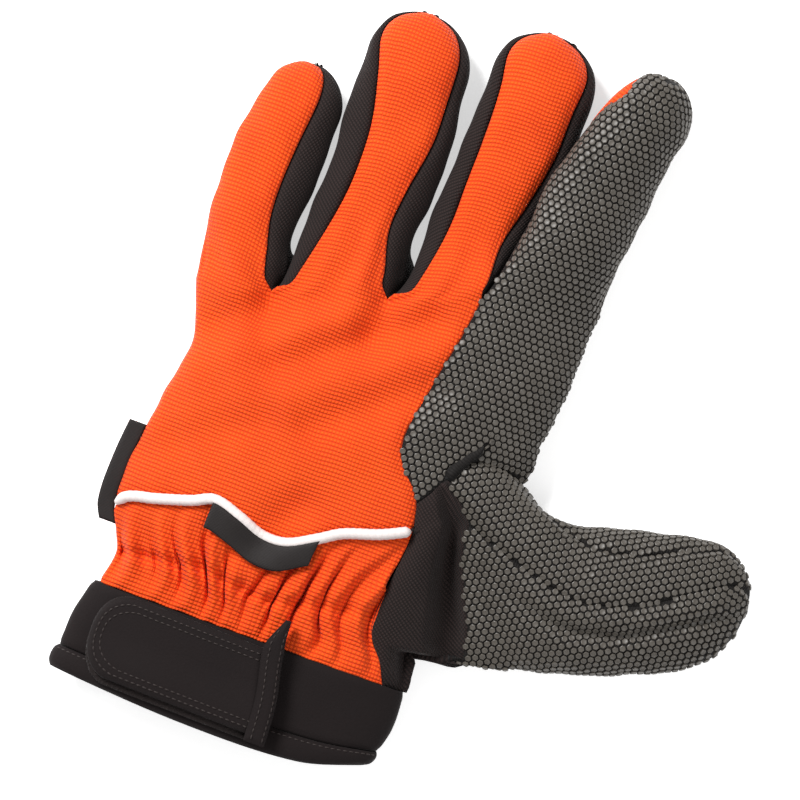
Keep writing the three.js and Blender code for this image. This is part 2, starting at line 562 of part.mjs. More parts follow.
// The black side panel between the wrist, the back and the thumb, with a fold along it
const gussetLeft = [...gatherRows, bodyRows[0], bodyRows[1]].map((row) => row.at(-1));
const wristRight = bodyAt(1, WRIST_Y);
const gussetRight = [wristRight, ...rootRow.slice(0, LOBE_CORNER + 1)];
const gussetRows = gussetLeft.map((left, i) => {
  const swell = Math.sin((Math.PI * i) / (gussetLeft.length - 1)) ** 0.7;
  return stretch(left, gussetRight[i], GUSSET_STEPS).map((p, j) => {
    const across = j / GUSSET_STEPS;
    const ridge = RIDGE_HEIGHT * Math.sin(Math.PI * clamp(across / 0.75, 0, 1));
    const recess = RIDGE_DROP * Math.sin(Math.PI * clamp((across - 0.55) / 0.45, 0, 1));
    return lifted(p, (ridge - recess) * swell);
  });
});
function thumbGusset() {
  const turn = [[wristRight, palmRight[0]], [rootRow[0], palmRight[1]]];
  return wall(gussetRows, turn.map(([edge, under]) => stretch(edge, under, TURN_STEPS).reverse()).reverse());
}

// The index finger's fabric: its lobe on the back of the hand, then round the finger
function gripRows() {
  const lobeEdge = [...gussetRows.at(-1), ...rootRow.slice(LOBE_CORNER + 1)];
  return rightRows.map((left, i) => {
    const along = i / (rightRows.length - 1);
    const row = lobeEdge.map((p, j) => {
      const y = lerp(p.out.y, rightRows.at(-1).out.y, along);
      const free = bodyAtX(lerp(left.out.x, rightEdge(y), j / (lobeEdge.length - 1)), y);
      return mix(lifted(p, 0, y - p.out.y), free, smooth(clamp(along * 3, 0, 1)));
    });
    row[0] = left;
    return [...row, ...stretch(row.at(-1), palmRight[BODY_ROWS + i], TURN_STEPS).slice(1)];
  });
}
const gripBody = gripRows();
const indexGrip = () => wall(gripBody,
  strip(INDEX_SHAPE, indexSeam("grip"), indexSeam("palm"), gripBody.at(-1)));

// The thumb's sections. The angle runs from its upper edge (0) by the top to its lower edge (PI).
const thumbColumn = (name) => curve(THUMB, "t", name);
const [thumbCentre, thumbHalf, thumbHeight] = ["centre", "half", "height"].map(thumbColumn);
const thumbRounding = (t) => (t < 1 - THUMB_ROUND ? 1 : roundness((t - 1 + THUMB_ROUND) / THUMB_ROUND, 2.2));
const THUMB_SHAPE = {
  at: (turned, t) => pair((depth) => {
    const reach = ((THUMB_WIDTH / 2) * thumbHalf(t) - depth) * thumbRounding(t);
    const flat = Math.cos(turned);
    const side = THUMB_HEIGHT * thumbHeight(t) * SIDE_SHARE;
    const above = (side - depth) * roundness(flat, FINGER_SQUARE.above);
    const below = (side - depth) * pressed(flat, FINGER_SQUARE.below);
    const rise = (Math.sin(turned) >= 0 ? above : -below) * thumbRounding(t) ** 0.8;
    const x = HAND_WIDTH * THUMB_START + (THUMB_LENGTH - depth) * t;
    return new THREE.Vector3(x, PALM_LENGTH * thumbCentre(t) + reach * flat, side + rise);
  }),
  seam: (name) => {
    const share = thumbColumn(name);
    return (t) => Math.acos(clamp(share(t), -1, 1));
  },
};
const thumbRows = steps(THUMB_ROWS).map((s) => Math.sin((s * Math.PI) / 2));
const TURN_ANGLE = degToRad(28);
const CENTRE_AT = 6; // the root's points where the thumb's two long seams start
const TOP_AT = 11;
function thumbPanel(...parts) {
  return wall(...parts.map(([from, to, base]) => strip(THUMB_SHAPE, from, to, base, thumbRows)));
}
const topSeam = THUMB_SHAPE.seam("top_seam");
const centreSeam = THUMB_SHAPE.seam("centre_seam");
const thumbTopStrip = () => thumbPanel(
  [topSeam, angle(0), rootRow.slice(TOP_AT)],
  [angle(0), angle(-TURN_ANGLE), stretch(rootRow.at(-1), palmRight[BODY_ROWS], TURN_STEPS)]);
const thumbFrontPanel = () => thumbPanel([centreSeam, topSeam, rootRow.slice(CENTRE_AT, TOP_AT + 1)]);
const thumbLowerPanel = () => thumbPanel(
  [angle(Math.PI + TURN_ANGLE), angle(Math.PI), stretch(palmRight[1], rootRow[0], TURN_STEPS)],
  [angle(Math.PI), centreSeam, rootRow.slice(0, CENTRE_AT + 1)]);
const thumbPalmPanel = () => thumbPanel(
  [angle(-TURN_ANGLE), angle(TURN_ANGLE - Math.PI), palmRight.slice(1, BODY_ROWS + 1).reverse()]);

// The piping lies in the seam between the gathers and the back, a quarter of its thickness proud.
function piping() {
  const path = new THREE.CatmullRomCurve3(steps(24).map((s) => {
    const share = lerp(0.004, 0.985, s);
    const place = onBack(share, pipingY(share)).out;
    return place.setZ(place.z + PIPING_DIAMETER / 4);
  }));
  const section = new THREE.Shape().absarc(0, 0, PIPING_DIAMETER / 2, 0, 2 * Math.PI);
  return new THREE.ExtrudeGeometry(section, {
    steps: 36, curveSegments: 5, bevelEnabled: false, extrudePath: path,
  });
}

// The cuff: a flattened sleeve that is open at both ends
const cuffLeft = scaled(CUFF, "y", "left", 1, CUFF_WIDTH);
const cuffRight = scaled(CUFF, "y", "right", 1, CUFF_WIDTH);
const hemShare = curve(HEM_LINE, "x", "y");
const hemStart = 1 - HEM_DEPTH / CUFF_DEPTH;
function cuffAt(turned, s, swell = 0) {
  const flat = Math.cos(turned);
  const upper = Math.sin(turned) > 0;
  const depth = CUFF_DEPTH * s * lerp(1, hemShare((flat + 1) / 2), s);
  const half = (cuffRight(s) - cuffLeft(s)) / 2;
  return pair((inner) => {
    const x = (cuffRight(s) + cuffLeft(s)) / 2 + (half + swell - inner) * flat;
    const rise = CUFF_HEIGHT / 2 + (upper ? swell : 0) - inner;
    const square = upper ? roundness(flat, CUFF_SQUARE) : -pressed(flat, CUFF_SQUARE);
    return new THREE.Vector3(x, WRIST_Y - depth, CUFF_HEIGHT / 2 + rise * square);
  }, NEOPRENE);
}
const cuffRing = (s, swell) => [...steps(CUFF_SIDES).slice(0, -1), 0].map((a) => {
  const turned = 2 * Math.PI * a;
  return cuffAt(turned - 0.35 * Math.sin(2 * turned), s, swell);
});
const cuff = () => wall(steps(4).map((s) => cuffRing(s * hemStart, 0)));
const cuffHem = () => wall(steps(2).map((s) => {
  const swell = HEM_SWELL * Math.sin(Math.PI * s);
  return cuffRing(lerp(hemStart, 1, s), swell);
}));

// A strip that lies on the cuff or the back: its grid of plan points, lifted to the surface below it
function cuffTop(x, y) {
  const s = clamp((WRIST_Y - y) / CUFF_DEPTH, 0, 1);
  const middle = (cuffRight(s) + cuffLeft(s)) / 2;
  const flat = clamp((x - middle) / ((cuffRight(s) - cuffLeft(s)) / 2), -0.98, 0.98);
  const swell = HEM_SWELL * smooth(clamp((s - hemStart / 2) / (hemStart / 2), 0, 1));
  return CUFF_HEIGHT / 2 + (CUFF_HEIGHT / 2 + swell) * roundness(flat, CUFF_SQUARE);
}
function laid(grid, height, thickness) {
  return wall(grid.map((row) => row.map(([x, y]) => {
    const z = height(x, y);
    return { out: new THREE.Vector3(x, y, z + thickness), inn: new THREE.Vector3(x, y, z) };
  })));
}

// The tab's plan: a strip whose left end is round and whose right end runs under the binding
function tabGrid(margin) {
  const half = TAB_WIDTH / 2;
  const right = CUFF_WIDTH * BINDING_PATH[1].x - BINDING_WIDTH / 2 - CLEARANCE;
  return steps(6).map((w) => {
    const across = lerp(1, -1, w);
    const left = right - TAB_LENGTH + (1 - roundness(across * 0.97, 2.4)) * half;
    return steps(10).map((s) => {
      const x = lerp(left, right, s);
      const fall = TAB_PLACE.slope * (x - right + TAB_LENGTH);
      const middle = WRIST_Y - TAB_PLACE.top * CUFF_DEPTH - half - fall;
      return [x, middle + half * across - margin * Math.max(0, -across)];
    });
  });
}
const loopPatch = () => laid(tabGrid(PILE_MARGIN), (x, y) => cuffTop(x, y) + CLEARANCE, PILE_THICKNESS);
const tabHeight = (x, y) => cuffTop(x, y) + PILE_THICKNESS + 2 * CLEARANCE;
const closureTab = () => laid(tabGrid(0), tabHeight, TAB_THICKNESS);

const bindingX = curve(BINDING_PATH.toReversed(), "y", "x");
function cuffBinding() {
  const grid = steps(9).map((s) => {
    const at = lerp(BINDING_PATH[0].y, BINDING_PATH.at(-1).y, s);
    const wide = BINDING_WIDTH * Math.min(1, 0.25 + s * 3);
    return [-0.5, 0, 0.5].map((side) => [CUFF_WIDTH * bindingX(at) + side * wide, CUFF_DEPTH * at]);
  });
  const below = (x, y) => Math.max(cuffTop(x, y), bodyAtX(x, Math.max(y, WRIST_Y)).out.z + GATHER_DEPTH);
  return laid(grid, (x, y) => below(x, y) + CLEARANCE, BINDING_THICKNESS);
}

const WRIST_LABEL_SPAN = [0.33, 0.72]; // along the piping, from the left edge of the back
const SIDE_LABEL_AT = 0.18; // in PALM_LENGTH
// The two bare labels: one flat on the gathers under the piping, one standing out of the left seam
function wristLabel() {
  const grid = steps(12).map((s) => {
    const share = lerp(...WRIST_LABEL_SPAN, s);
    const top = pipingY(share) - pipingHalf;
    return steps(2).map((w) => [lerp(leftEdge(top), backEdge(top), share), top - WRIST_LABEL_WIDTH * w]);
  });
  return laid(grid, (x, y) => bodyAtX(x, y).out.z + GATHER_DEPTH + CLEARANCE, LABEL_THICKNESS);
}
function sideLabel() {
  const grid = steps(6).map((s) => {
    const y = PALM_LENGTH * SIDE_LABEL_AT + SIDE_LABEL_LENGTH * s;
    const seam = leftEdge(y) + SEAM_GAP / 2 - CLEARANCE;
    return [[seam - SIDE_LABEL_WIDTH, y], [seam, y]];
  });
  return laid(grid, () => SIDE_HEIGHT - LABEL_THICKNESS / 2, LABEL_THICKNESS);
}

const group = new THREE.Group();
const fabric = (color, roughness) => new THREE.MeshStandardMaterial({ color, roughness, metalness: 0 });
const ORANGE = fabric(0xff5a14, 0.85);
const KNIT = fabric(0x241a18, 0.9);
const GUARD = fabric(0x524d47, 0.6);
const RUBBER = fabric(0x261d1e, 0.75);
const LABEL = fabric(0x2c2523, 0.7);

const PIECES = {
  back_panel: [backPanel, ORANGE],
  index_back: [indexBack, ORANGE],
  fourchette_little_ring: [() => fourchette(1), KNIT],
  fourchette_ring_middle: [() => fourchette(2), KNIT],
  fourchette_middle_index: [() => fourchette(3), KNIT],
  palm_panel: [palmPanel, GUARD],
  index_grip: [indexGrip, GUARD],
  thumb_top_strip: [thumbTopStrip, GUARD],
  thumb_front_panel: [thumbFrontPanel, GUARD],
  thumb_lower_panel: [thumbLowerPanel, GUARD],
  thumb_palm_panel: [thumbPalmPanel, GUARD],
  thumb_gusset: [thumbGusset, KNIT],
  wrist_gather: [() => wall(gatherRows), ORANGE],
  piping: [piping, fabric(0xf0e6e4, 0.6)],
  cuff: [cuff, RUBBER],
  cuff_hem: [cuffHem, RUBBER],
  loop_patch: [loopPatch, fabric(0x1f1716, 1)],
  closure_tab: [closureTab, RUBBER],
  cuff_binding: [cuffBinding, RUBBER],
  side_label: [sideLabel, LABEL],
  wrist_label: [wristLabel, LABEL],
};
for (const [name, [build, look]] of Object.entries(PIECES)) {
  const mesh = new THREE.Mesh(build(), look);
  mesh.name = name;
  group.add(mesh);
}

// The origin is the middle of the glove's box, on the surface that it lies on.
const bounds = new THREE.Box3().setFromObject(group);
const centre = bounds.getCenter(new THREE.Vector3());
group.position.set(-centre.x, -centre.y, -bounds.min.z);
group.updateMatrixWorld(true);

export default group;
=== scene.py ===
"""Dresses a left-hand fishing glove that lies palm down.

The cloth panels, the neoprene cuff, the guard plates, the piping and the stitches are built round the
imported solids. Sizes are in millimetres in the glove's own frame, and Maker.place turns them to metres.
"""

import logging
import math
from collections.abc import Callable, Sequence
from dataclasses import dataclass, field
from enum import Enum

import bpy
import numpy as np
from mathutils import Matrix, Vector
from mathutils.bvhtree import BVHTree
from mathutils.kdtree import KDTree


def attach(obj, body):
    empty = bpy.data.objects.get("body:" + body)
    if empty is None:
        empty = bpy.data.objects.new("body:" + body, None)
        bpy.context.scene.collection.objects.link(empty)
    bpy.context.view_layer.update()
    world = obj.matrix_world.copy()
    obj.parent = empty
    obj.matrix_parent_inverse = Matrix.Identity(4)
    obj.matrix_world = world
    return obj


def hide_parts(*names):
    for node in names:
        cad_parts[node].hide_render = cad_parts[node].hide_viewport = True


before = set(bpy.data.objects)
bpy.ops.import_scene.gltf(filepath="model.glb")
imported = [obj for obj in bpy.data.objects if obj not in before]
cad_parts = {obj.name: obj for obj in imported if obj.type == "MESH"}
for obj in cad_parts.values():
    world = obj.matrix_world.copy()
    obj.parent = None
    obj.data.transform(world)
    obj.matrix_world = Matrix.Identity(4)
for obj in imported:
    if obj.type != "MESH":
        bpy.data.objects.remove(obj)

LOG = logging.getLogger("glove")
MM = 0.001
BODY = "root"
Points = np.ndarray


class Slot(Enum):
    """The record's material slots."""

    RIB = "ribbed_fabric"
    KNIT = "black_knit"
    GUARD = "guard_fabric"
    NEOPRENE = "neoprene"
    LOOP = "loop_pile"
    PIPING = "white_piping"
    LABEL = "label_tape"


def smooth(share: Points) -> Points:
    """Eases a share between 0 and 1."""
    share = np.clip(share, 0, 1)
    return share * share * (3 - 2 * share)


def bump(distance: Points, width: float | Points) -> Points:
    """Gives a smooth hump that is 1 where the distance is 0 and fades over a width."""
    return np.exp(-((distance / width) ** 2))


def roundness(share: Points, square: float | Points) -> Points:
    """Gives how high a rounded section still is.

    Args:
        share: Place across the section, as a share of its half width.
        square: How square the section is; 2 is an ellipse.

    Returns:
        The height as a share of the full one.
    """
    return np.maximum(1 - np.minimum(1, np.abs(share)) ** square, 0) ** (1 / square)


def pressed(share: Points, square: float | Points) -> Points:
    """Gives the roundness of an underside that is pressed flat where it rests."""
    return np.minimum(1, Pattern.FLATTENED * roundness(share, square))


class Curve:
    """A column of a table as a smooth function of its first column."""

    def __init__(self, rows: Sequence[Sequence[float]], column: int = 1, scale: float = 1,
                 size: float = 1) -> None:
        """Keeps the column's places and its slopes.

        Args:
            rows: The table.
            column: The column that is read.
            scale: Length that the first column is a share of.
            size: Length that the read column is a share of.
        """
        table = np.array(rows, float)
        self.at, self.value = table[:, 0] * scale, table[:, column] * size
        ahead = np.minimum(np.arange(len(table)) + 1, len(table) - 1)
        behind = np.maximum(np.arange(len(table)) - 1, 0)
        self.slope = (self.value[ahead] - self.value[behind]) / (self.at[ahead] - self.at[behind])

    def __call__(self, at: float | Points) -> Points:
        """Reads the curve, which stays level past its ends."""
        s = np.clip(at, self.at[0], self.at[-1])
        i = np.clip(np.searchsorted(self.at, s) - 1, 0, len(self.at) - 2)
        span = self.at[i + 1] - self.at[i]
        u = (s - self.at[i]) / span
        straight = (self.value[i + 1] - self.value[i]) / span
        bend = (self.slope[i] - straight) * (1 - u) - (self.slope[i + 1] - straight) * u
        return self.value[i] * (1 - u) + self.value[i + 1] * u + span * u * (1 - u) * bend


def point(x: float | Points, y: float | Points, z: float | Points) -> Points:
    """Stacks three coordinates of any matching shapes."""
    return np.stack(np.broadcast_arrays(x, y, z), -1).astype(float)


def between(start: Points, end: Points, count: int) -> Points:
    """Gives count + 1 columns of points from one line of points to another."""
    share = np.linspace(0, 1, count + 1)[:, None]
    return start[..., None, :] * (1 - share) + end[..., None, :] * share


def resampled(line: Points, count: int) -> Points:
    """Draws a smooth line through a few points.

    Args:
        line: The points, one a row.
        count: How many steps the new line has.

    Returns:
        count + 1 points.
    """
    index = np.arange(len(line))
    at = np.linspace(0, len(line) - 1, count + 1)
    rows = [Curve(np.column_stack([index, line[:, axis]]))(at) for axis in range(3)]
    return np.stack(rows, -1)


@dataclass
class Stall:
    """One finger of the glove: its slot across the hand, its size and its table of sections."""

    slot: float
    width: float
    length: float
    height: float
    base: float
    tip: float
    rows: Sequence[Sequence[float]]
    side: float = 0.5
    tilt: float = 0
    undercut: float = 0
    gap: float = 0.8

    def rounding(self, t: Points) -> Points:
        """Gives how much of the section is left near the tip."""
        return roundness(np.maximum(0, (t - 1 + self.tip) / self.tip), 2.2)

    def at(self, angle: float | Points, t: float | Points) -> Points:
        """Gives points of the finger's outer face.

        Args:
            angle: Angle round the section, from +X by +Z.
            t: Share of the length.

        Returns:
            Points in millimetres.
        """
        angle, t = np.broadcast_arrays(np.asarray(angle, float), np.asarray(t, float))
        rounding = self.rounding(t)
        reach = (self.width * Curve(self.rows, 2)(t) - self.gap / 2) * rounding
        flat = np.cos(angle)
        side = self.side * self.height
        above = (self.height - side) * roundness(flat, Pattern.FINGER_ABOVE)
        if self.undercut:
            below = side * roundness(flat, np.where(flat < 0, self.undercut, Pattern.FINGER_BELOW))
        else:
            below = side * pressed(flat, Pattern.FINGER_BELOW)
        rise = np.where(np.sin(angle) >= 0, above, -below) * rounding**0.8
        x = self.slot + self.width * Curve(self.rows, 1)(t) + reach * flat
        y = Pattern.PALM_LENGTH * self.base + self.length * t
        return point(x, y, np.maximum(0, side + self.tilt * reach * flat + rise))

    def seam(self, column: int) -> Callable[[Points], Points]:
        """Gives a seam's angle along the finger, from the table's column."""
        share = Curve(self.rows, column)
        return lambda t: np.arccos(np.clip(share(t), -1, 1))


class Thumb(Stall):
    """The thumb, which runs outwards along +X; its rows give centre, half, two seams and the height."""

    # The long crease: its place across the thumb, and the depth, width and offset of its dent and its ridge
    CREASE = ((0, -0.3), (0.16, -0.36), (0.57, -0.44), (0.93, -0.1))
    DENT, DENT_WIDTH = 2.4, 0.09
    RIDGE, RIDGE_WIDTH, RIDGE_OFFSET = 0.9, 0.12, 0.2

    def at(self, angle: float | Points, t: float | Points) -> Points:
        """Gives points of the thumb's outer face, from its upper edge round by the top."""
        angle, t = np.broadcast_arrays(np.asarray(angle, float), np.asarray(t, float))
        rounding = self.rounding(t)
        reach = self.width / 2 * Curve(self.rows, 2)(t) * rounding
        flat = np.cos(angle)
        side = self.height * Curve(self.rows, 5)(t) * self.side
        above = side * roundness(flat, Pattern.FINGER_ABOVE)
        below = side * pressed(flat, Pattern.FINGER_BELOW)
        across = flat - Curve(self.CREASE)(t)
        window = smooth((t - 0.08) / 0.3) * smooth((1 - t) / 0.12)
        ridge = self.RIDGE * bump(across - self.RIDGE_OFFSET, self.RIDGE_WIDTH)
        dent = self.DENT * bump(across, self.DENT_WIDTH) - ridge
        above = above - dent * window
        rise = np.where(np.sin(angle) >= 0, above, -below) * rounding**0.8
        y = Pattern.PALM_LENGTH * Curve(self.rows, 1)(t) + reach * flat
        return point(self.slot + self.length * t, y, side + rise)


def strip(shape: Stall, start: Callable, end: Callable, base: Points, share: Points, t: Points) -> Points:
    """Builds a finger's strip between two seams, which takes its own shape as it leaves its base row.

    Args:
        shape: The finger or thumb.
        start: Angle of the first seam, along the finger.
        end: Angle of the second seam.
        base: The row of points that the strip starts from.
        share: Where each column lies between the seams.
        t: Shares of the finger's length, one for each row.

    Returns:
        A grid of points.
    """
    turn = [start(at)[:, None] * (1 - share) + end(at)[:, None] * share for at in (t, np.zeros(1))]
    left = 1 - smooth(t / Pattern.FADE)
    return shape.at(turn[0], t[:, None]) + (base - shape.at(turn[1], 0)) * left[:, None, None]


def grip_seam(t: Points) -> Points:
    """Gives the index fabric's left seam, which lets a sliver of the ribbed back show near the tip."""
    return Pattern.INDEX_GRIP - Pattern.SLIVER_TURN * bump(t - Pattern.SLIVER_TIP, 0.06)


def back_seam(t: Points) -> Points:
    """Gives the seam between the index finger's sliver and its gusset, which opens towards the tip."""
    hidden = Pattern.SLIVER_HIDDEN
    width = hidden + (1 - hidden) * smooth((t - Pattern.SLIVER_OPENS) / 0.16)
    return Pattern.INDEX_GRIP + (Pattern.INDEX_BACK - Pattern.INDEX_GRIP) * width


def fixed(value: float) -> Callable[[Points], Points]:
    """Gives a seam that stays at one angle."""
    return lambda t: np.full(np.shape(t), value, float)


class Pattern:
    """The glove's own shape: edges, crown, folds, fingers and thumb, and the lines that panels meet in."""

    FINGER_ABOVE = 2.1
    FINGER_BELOW = 3
    FLATTENED = 1.04
    FADE = 0.36
    PALM_LENGTH = 105
    HAND_WIDTH = 129
    HAND_HEIGHT = 24
    SIDE_HEIGHT = 9
    BODY_ABOVE = 2.6
    BODY_BELOW = 4
    UNDER_TURN = 0.97
    POCKET = 0.07 * PALM_LENGTH
    CROTCHES = (0, 0.298, 0.702, 1)
    PALM_CROTCHES = (0, 0.255, 0.6, 0.86, 1)
    PALM_ANGLE = math.acos(0.72)
    PIPING_HALF = 0.3
    GUSSET_RIDGE, GUSSET_RECESS = 3.6, 6.2
    # The ribbed sliver on the index finger: its seam turns back at the tip and is nearly shut below it
    SLIVER_TURN = math.radians(30)
    SLIVER_TIP, SLIVER_OPENS, SLIVER_HIDDEN = 0.89, 0.68, 0.12
    # The inner corner of the notch below the thumb's root, and where the cloth starts to give way to it
    NOTCH = (110.0, 12.1)
    NOTCH_START = 96.0
    GATHER_DEPTH = 1.8
    ROOT_CORNER, ROOT_CENTRE, ROOT_TOP = 8 / 12, 6 / 12, 11 / 12
    INDEX_PALM, INDEX_GRIP, INDEX_BACK, INDEX_GUSSET = (math.radians(a) for a in (-60, 174, 208, 232))
    THUMB_TURN = math.radians(28)

    LEFT = Curve(((0, 0.062), (0.1, 0.078), (0.16, 0.06), (0.23, 0.034), (0.36, 0.031), (0.51, 0.042),
                  (0.67, 0.065), (0.77, 0.074), (0.87, 0.06), (0.97, 0.029), (1.08, 0.01), (1.3, 0)),
                 1, PALM_LENGTH, HAND_WIDTH)
    RIGHT = Curve(((0, 0.87), (0.12, 0.862), (0.28, 0.868), (0.39, 0.88), (0.5, 0.895), (0.58, 0.92),
                   (0.66, 0.955), (0.74, 0.981), (0.82, 0.971), (0.95, 0.984), (1.2, 0.994)),
                  1, PALM_LENGTH, HAND_WIDTH)
    BACK = Curve(((0, 0.808), (0.067, 0.78), (0.114, 0.745), (0.167, 0.73), (0.271, 0.733), (0.39, 0.744),
                  (0.47, 0.747), (0.54, 0.737), (0.592, 0.712), (0.633, 0.678), (0.68, 0.655), (0.743, 0.649),
                  (0.819, 0.657), (0.895, 0.67), (0.971, 0.681), (1.048, 0.694), (1.187, 0.712)),
                 1, PALM_LENGTH, HAND_WIDTH)
    PALM_EDGE = Curve(((0, 0.82), (0.13, 0.81), (0.22, 0.82), (0.45, 0.84), (0.7, 0.85), (0.9, 0.86),
                       (1.187, 0.87)),
                      1, PALM_LENGTH, HAND_WIDTH)
    PIPING = Curve(((0, 0.235), (0.04, 0.272), (0.14, 0.297), (0.26, 0.33), (0.33, 0.356), (0.43, 0.334),
                    (0.53, 0.303), (0.62, 0.307), (0.71, 0.351), (0.78, 0.391), (0.9, 0.428), (1, 0.47)),
                   1, 1, PALM_LENGTH)
    KNUCKLES = Curve(((0, 0.965), (0.298, 0.999), (0.702, 1.098), (1, 1.187)), 1, 1, PALM_LENGTH)
    CROWN_ALONG = Curve(((0, 0.8), (0.12, 0.8), (0.3, 0.92), (0.6, 1), (0.85, 1), (1.2, 0.93)), 1,
                        PALM_LENGTH)
    CROWN_ACROSS = Curve(((0, 0.84), (0.3, 0.96), (0.55, 1), (0.75, 1.05), (1, 0.9)), 1, HAND_WIDTH)
    ROOT = ((0, 0.975, 0.135, 0.38), (0.1, 0.964, 0.2, 0.48), (0.2, 0.945, 0.27, 0.54),
            (0.3, 0.9, 0.38, 0.62),
            (0.42, 0.872, 0.48, 0.74), (0.5, 0.866, 0.54, 0.84), (0.583, 0.835, 0.59, 0.92),
            (0.667, 0.785, 0.65, 0.98), (0.75, 0.82, 0.715, 0.92), (0.84, 0.87, 0.74, 0.82),
            (0.92, 0.925, 0.733, 0.66), (1, 0.97, 0.714, 0.42))
    # Folds: a line from x0, y0 to x1, y1, its half width and its depth, as shares of the hand
    FOLDS = ((0.36, 1.06, 0.04, 0.8, 0.05, 0.15), (0.62, 1.08, 0.3, 0.8, 0.045, 0.12),
             (0.68, 0.9, 0.42, 0.66, 0.05, 0.09), (0.3, 0.62, 0.05, 0.42, 0.05, 0.09),
             (0.47, 0.42, 0.4, 0.28, 0.05, 0.1))
    FINGERS = (
        Stall(0, 30, 76.4, 16, 0.971, 0.2, (
            (0, 0.49, 0.44, -1, 0.86), (0.05, 0.48, 0.445, -1, 0.6), (0.21, 0.467, 0.46, -1, 0.52),
            (0.42, 0.49, 0.495, -1, 0.34),
            (0.63, 0.513, 0.5, -1, 0.33), (0.84, 0.553, 0.455, -1, 0.4), (1, 0.56, 0.42, -1, 0.5))),
        Stall(30, 36, 98, 18, 1.025, 0.17, (
            (0, 0.4, 0.47, -0.86, 0.86), (0.04, 0.405, 0.467, -0.6, 0.68), (0.1, 0.413, 0.463, -0.52, 0.66),
            (0.26, 0.472, 0.472, -0.49, 0.55),
            (0.43, 0.53, 0.492, -0.5, 0.51), (0.6, 0.517, 0.51, -0.49, 0.67),
            (0.76, 0.486, 0.486, -0.66, 0.76),
            (0.9, 0.47, 0.47, -0.9, 0.8), (1, 0.45, 0.45, -0.98, 0.9))),
        Stall(66, 35, 95, 18, 1.122, 0.16, (
            (0, 0.3, 0.45, -0.86, 0.86), (0.04, 0.325, 0.447, -0.55, 0.76), (0.09, 0.36, 0.445, -0.5, 0.73),
            (0.26, 0.463, 0.45, -0.52, 0.6),
            (0.43, 0.525, 0.465, -0.62, 0.71), (0.6, 0.575, 0.49, -0.68, 0.75),
            (0.77, 0.594, 0.497, -0.74, 0.73),
            (0.92, 0.588, 0.48, -0.9, 0.84), (1, 0.57, 0.45, -0.98, 0.9))),
    )
    INDEX = Stall(96, 33, 87, 27, 1.187, 0.2, (
        (0, 0.43, 0.545), (0.1, 0.47, 0.52), (0.24, 0.505, 0.505), (0.35, 0.535, 0.495), (0.46, 0.555, 0.5),
        (0.56, 0.6, 0.485), (0.74, 0.7, 0.445), (0.88, 0.79, 0.42), (1, 0.82, 0.4)),
        side=0.58, tilt=-0.16, undercut=1.25)
    THUMB = Thumb(126.033, 48.4, 79, 22, 0, 0.24, (
        (0, 0.438, 1.3, 0.8, 0.07, 0.85), (0.125, 0.414, 1.095, 0.855, 0.115, 0.9),
        (0.237, 0.421, 1, 0.82, 0.07, 0.96), (0.4, 0.454, 1, 0.7, -0.03, 1),
        (0.56, 0.487, 0.98, 0.72, -0.01, 1),
        (0.7, 0.52, 0.93, 0.84, 0.13, 0.98), (0.85, 0.55, 0.86, 0.95, 0.4, 0.92),
        (1, 0.572, 0.8, 0.97, 0.8, 0.85)))

    @classmethod
    def hollow(cls, x: Points, y: Points) -> Points:
        """Gives how deep the back's folds and the valleys between its fingers are."""
        depth = np.zeros(np.broadcast(x, y).shape)
        for x0, y0, x1, y1, width, share in cls.FOLDS:
            start = np.array((x0 * cls.HAND_WIDTH, y0 * cls.PALM_LENGTH))
            run = np.array((x1 * cls.HAND_WIDTH, y1 * cls.PALM_LENGTH)) - start
            along = np.clip(((x - start[0]) * run[0] + (y - start[1]) * run[1]) / (run @ run), 0, 1)
            away = np.hypot(x - start[0] - along * run[0], y - start[1] - along * run[1])
            depth = depth + share * cls.HAND_HEIGHT * np.exp(-((away / (width * cls.HAND_WIDTH)) ** 2))
        for share in cls.CROTCHES[1:-1]:
            centre = cls.LEFT(y) * (1 - share) + cls.BACK(y) * share
            below = np.clip((cls.KNUCKLES(share) - y) / (0.3 * cls.PALM_LENGTH), 0, 1)
            away = (x - centre) / (0.045 * cls.HAND_WIDTH)
            depth = depth + 0.2 * cls.HAND_HEIGHT * np.exp(-(away**2)) * (1 - smooth(below))
        return depth

    @classmethod
    def body(cls, share: Points, y: Points, under: bool = False) -> Points:
        """Gives the hand's own surface at a share of its half width, on the back or under the palm."""
        share, y = np.broadcast_arrays(np.asarray(share, float), np.asarray(y, float))
        centre, half = (cls.LEFT(y) + cls.RIGHT(y)) / 2, (cls.RIGHT(y) - cls.LEFT(y)) / 2
        plan = centre + half * share
        if under:
            rise = -cls.SIDE_HEIGHT * pressed(share, cls.BODY_BELOW)
        else:
            crown = cls.HAND_HEIGHT * cls.CROWN_ALONG(y) * cls.CROWN_ACROSS(plan) - cls.hollow(plan, y)
            rise = (crown - cls.SIDE_HEIGHT) * roundness(share, cls.BODY_ABOVE)
        return point(plan, y, cls.SIDE_HEIGHT + rise)

    @classmethod
    def body_x(cls, x: Points, y: Points, under: bool = False) -> Points:
        """Gives the hand's surface above or below a plan point."""
        centre, half = (cls.LEFT(y) + cls.RIGHT(y)) / 2, (cls.RIGHT(y) - cls.LEFT(y)) / 2
        return cls.body(np.clip((x - centre) / half, -1, 1), y, under)

    @classmethod
    def back(cls, share: Points, y: Points) -> Points:
        """Gives the ribbed back's surface, from its left edge (0) to its right one (1)."""
        return cls.body_x(cls.LEFT(y) * (1 - share) + cls.BACK(y) * share, y)

    @classmethod
    def root(cls, share: Points) -> Points:
        """Gives the seam round the thumb's root, from its lower edge to the index finger."""
        size = (cls.HAND_WIDTH, cls.PALM_LENGTH, cls.HAND_HEIGHT)
        return point(*(Curve(cls.ROOT, k + 1, 1, size[k])(share) for k in range(3)))

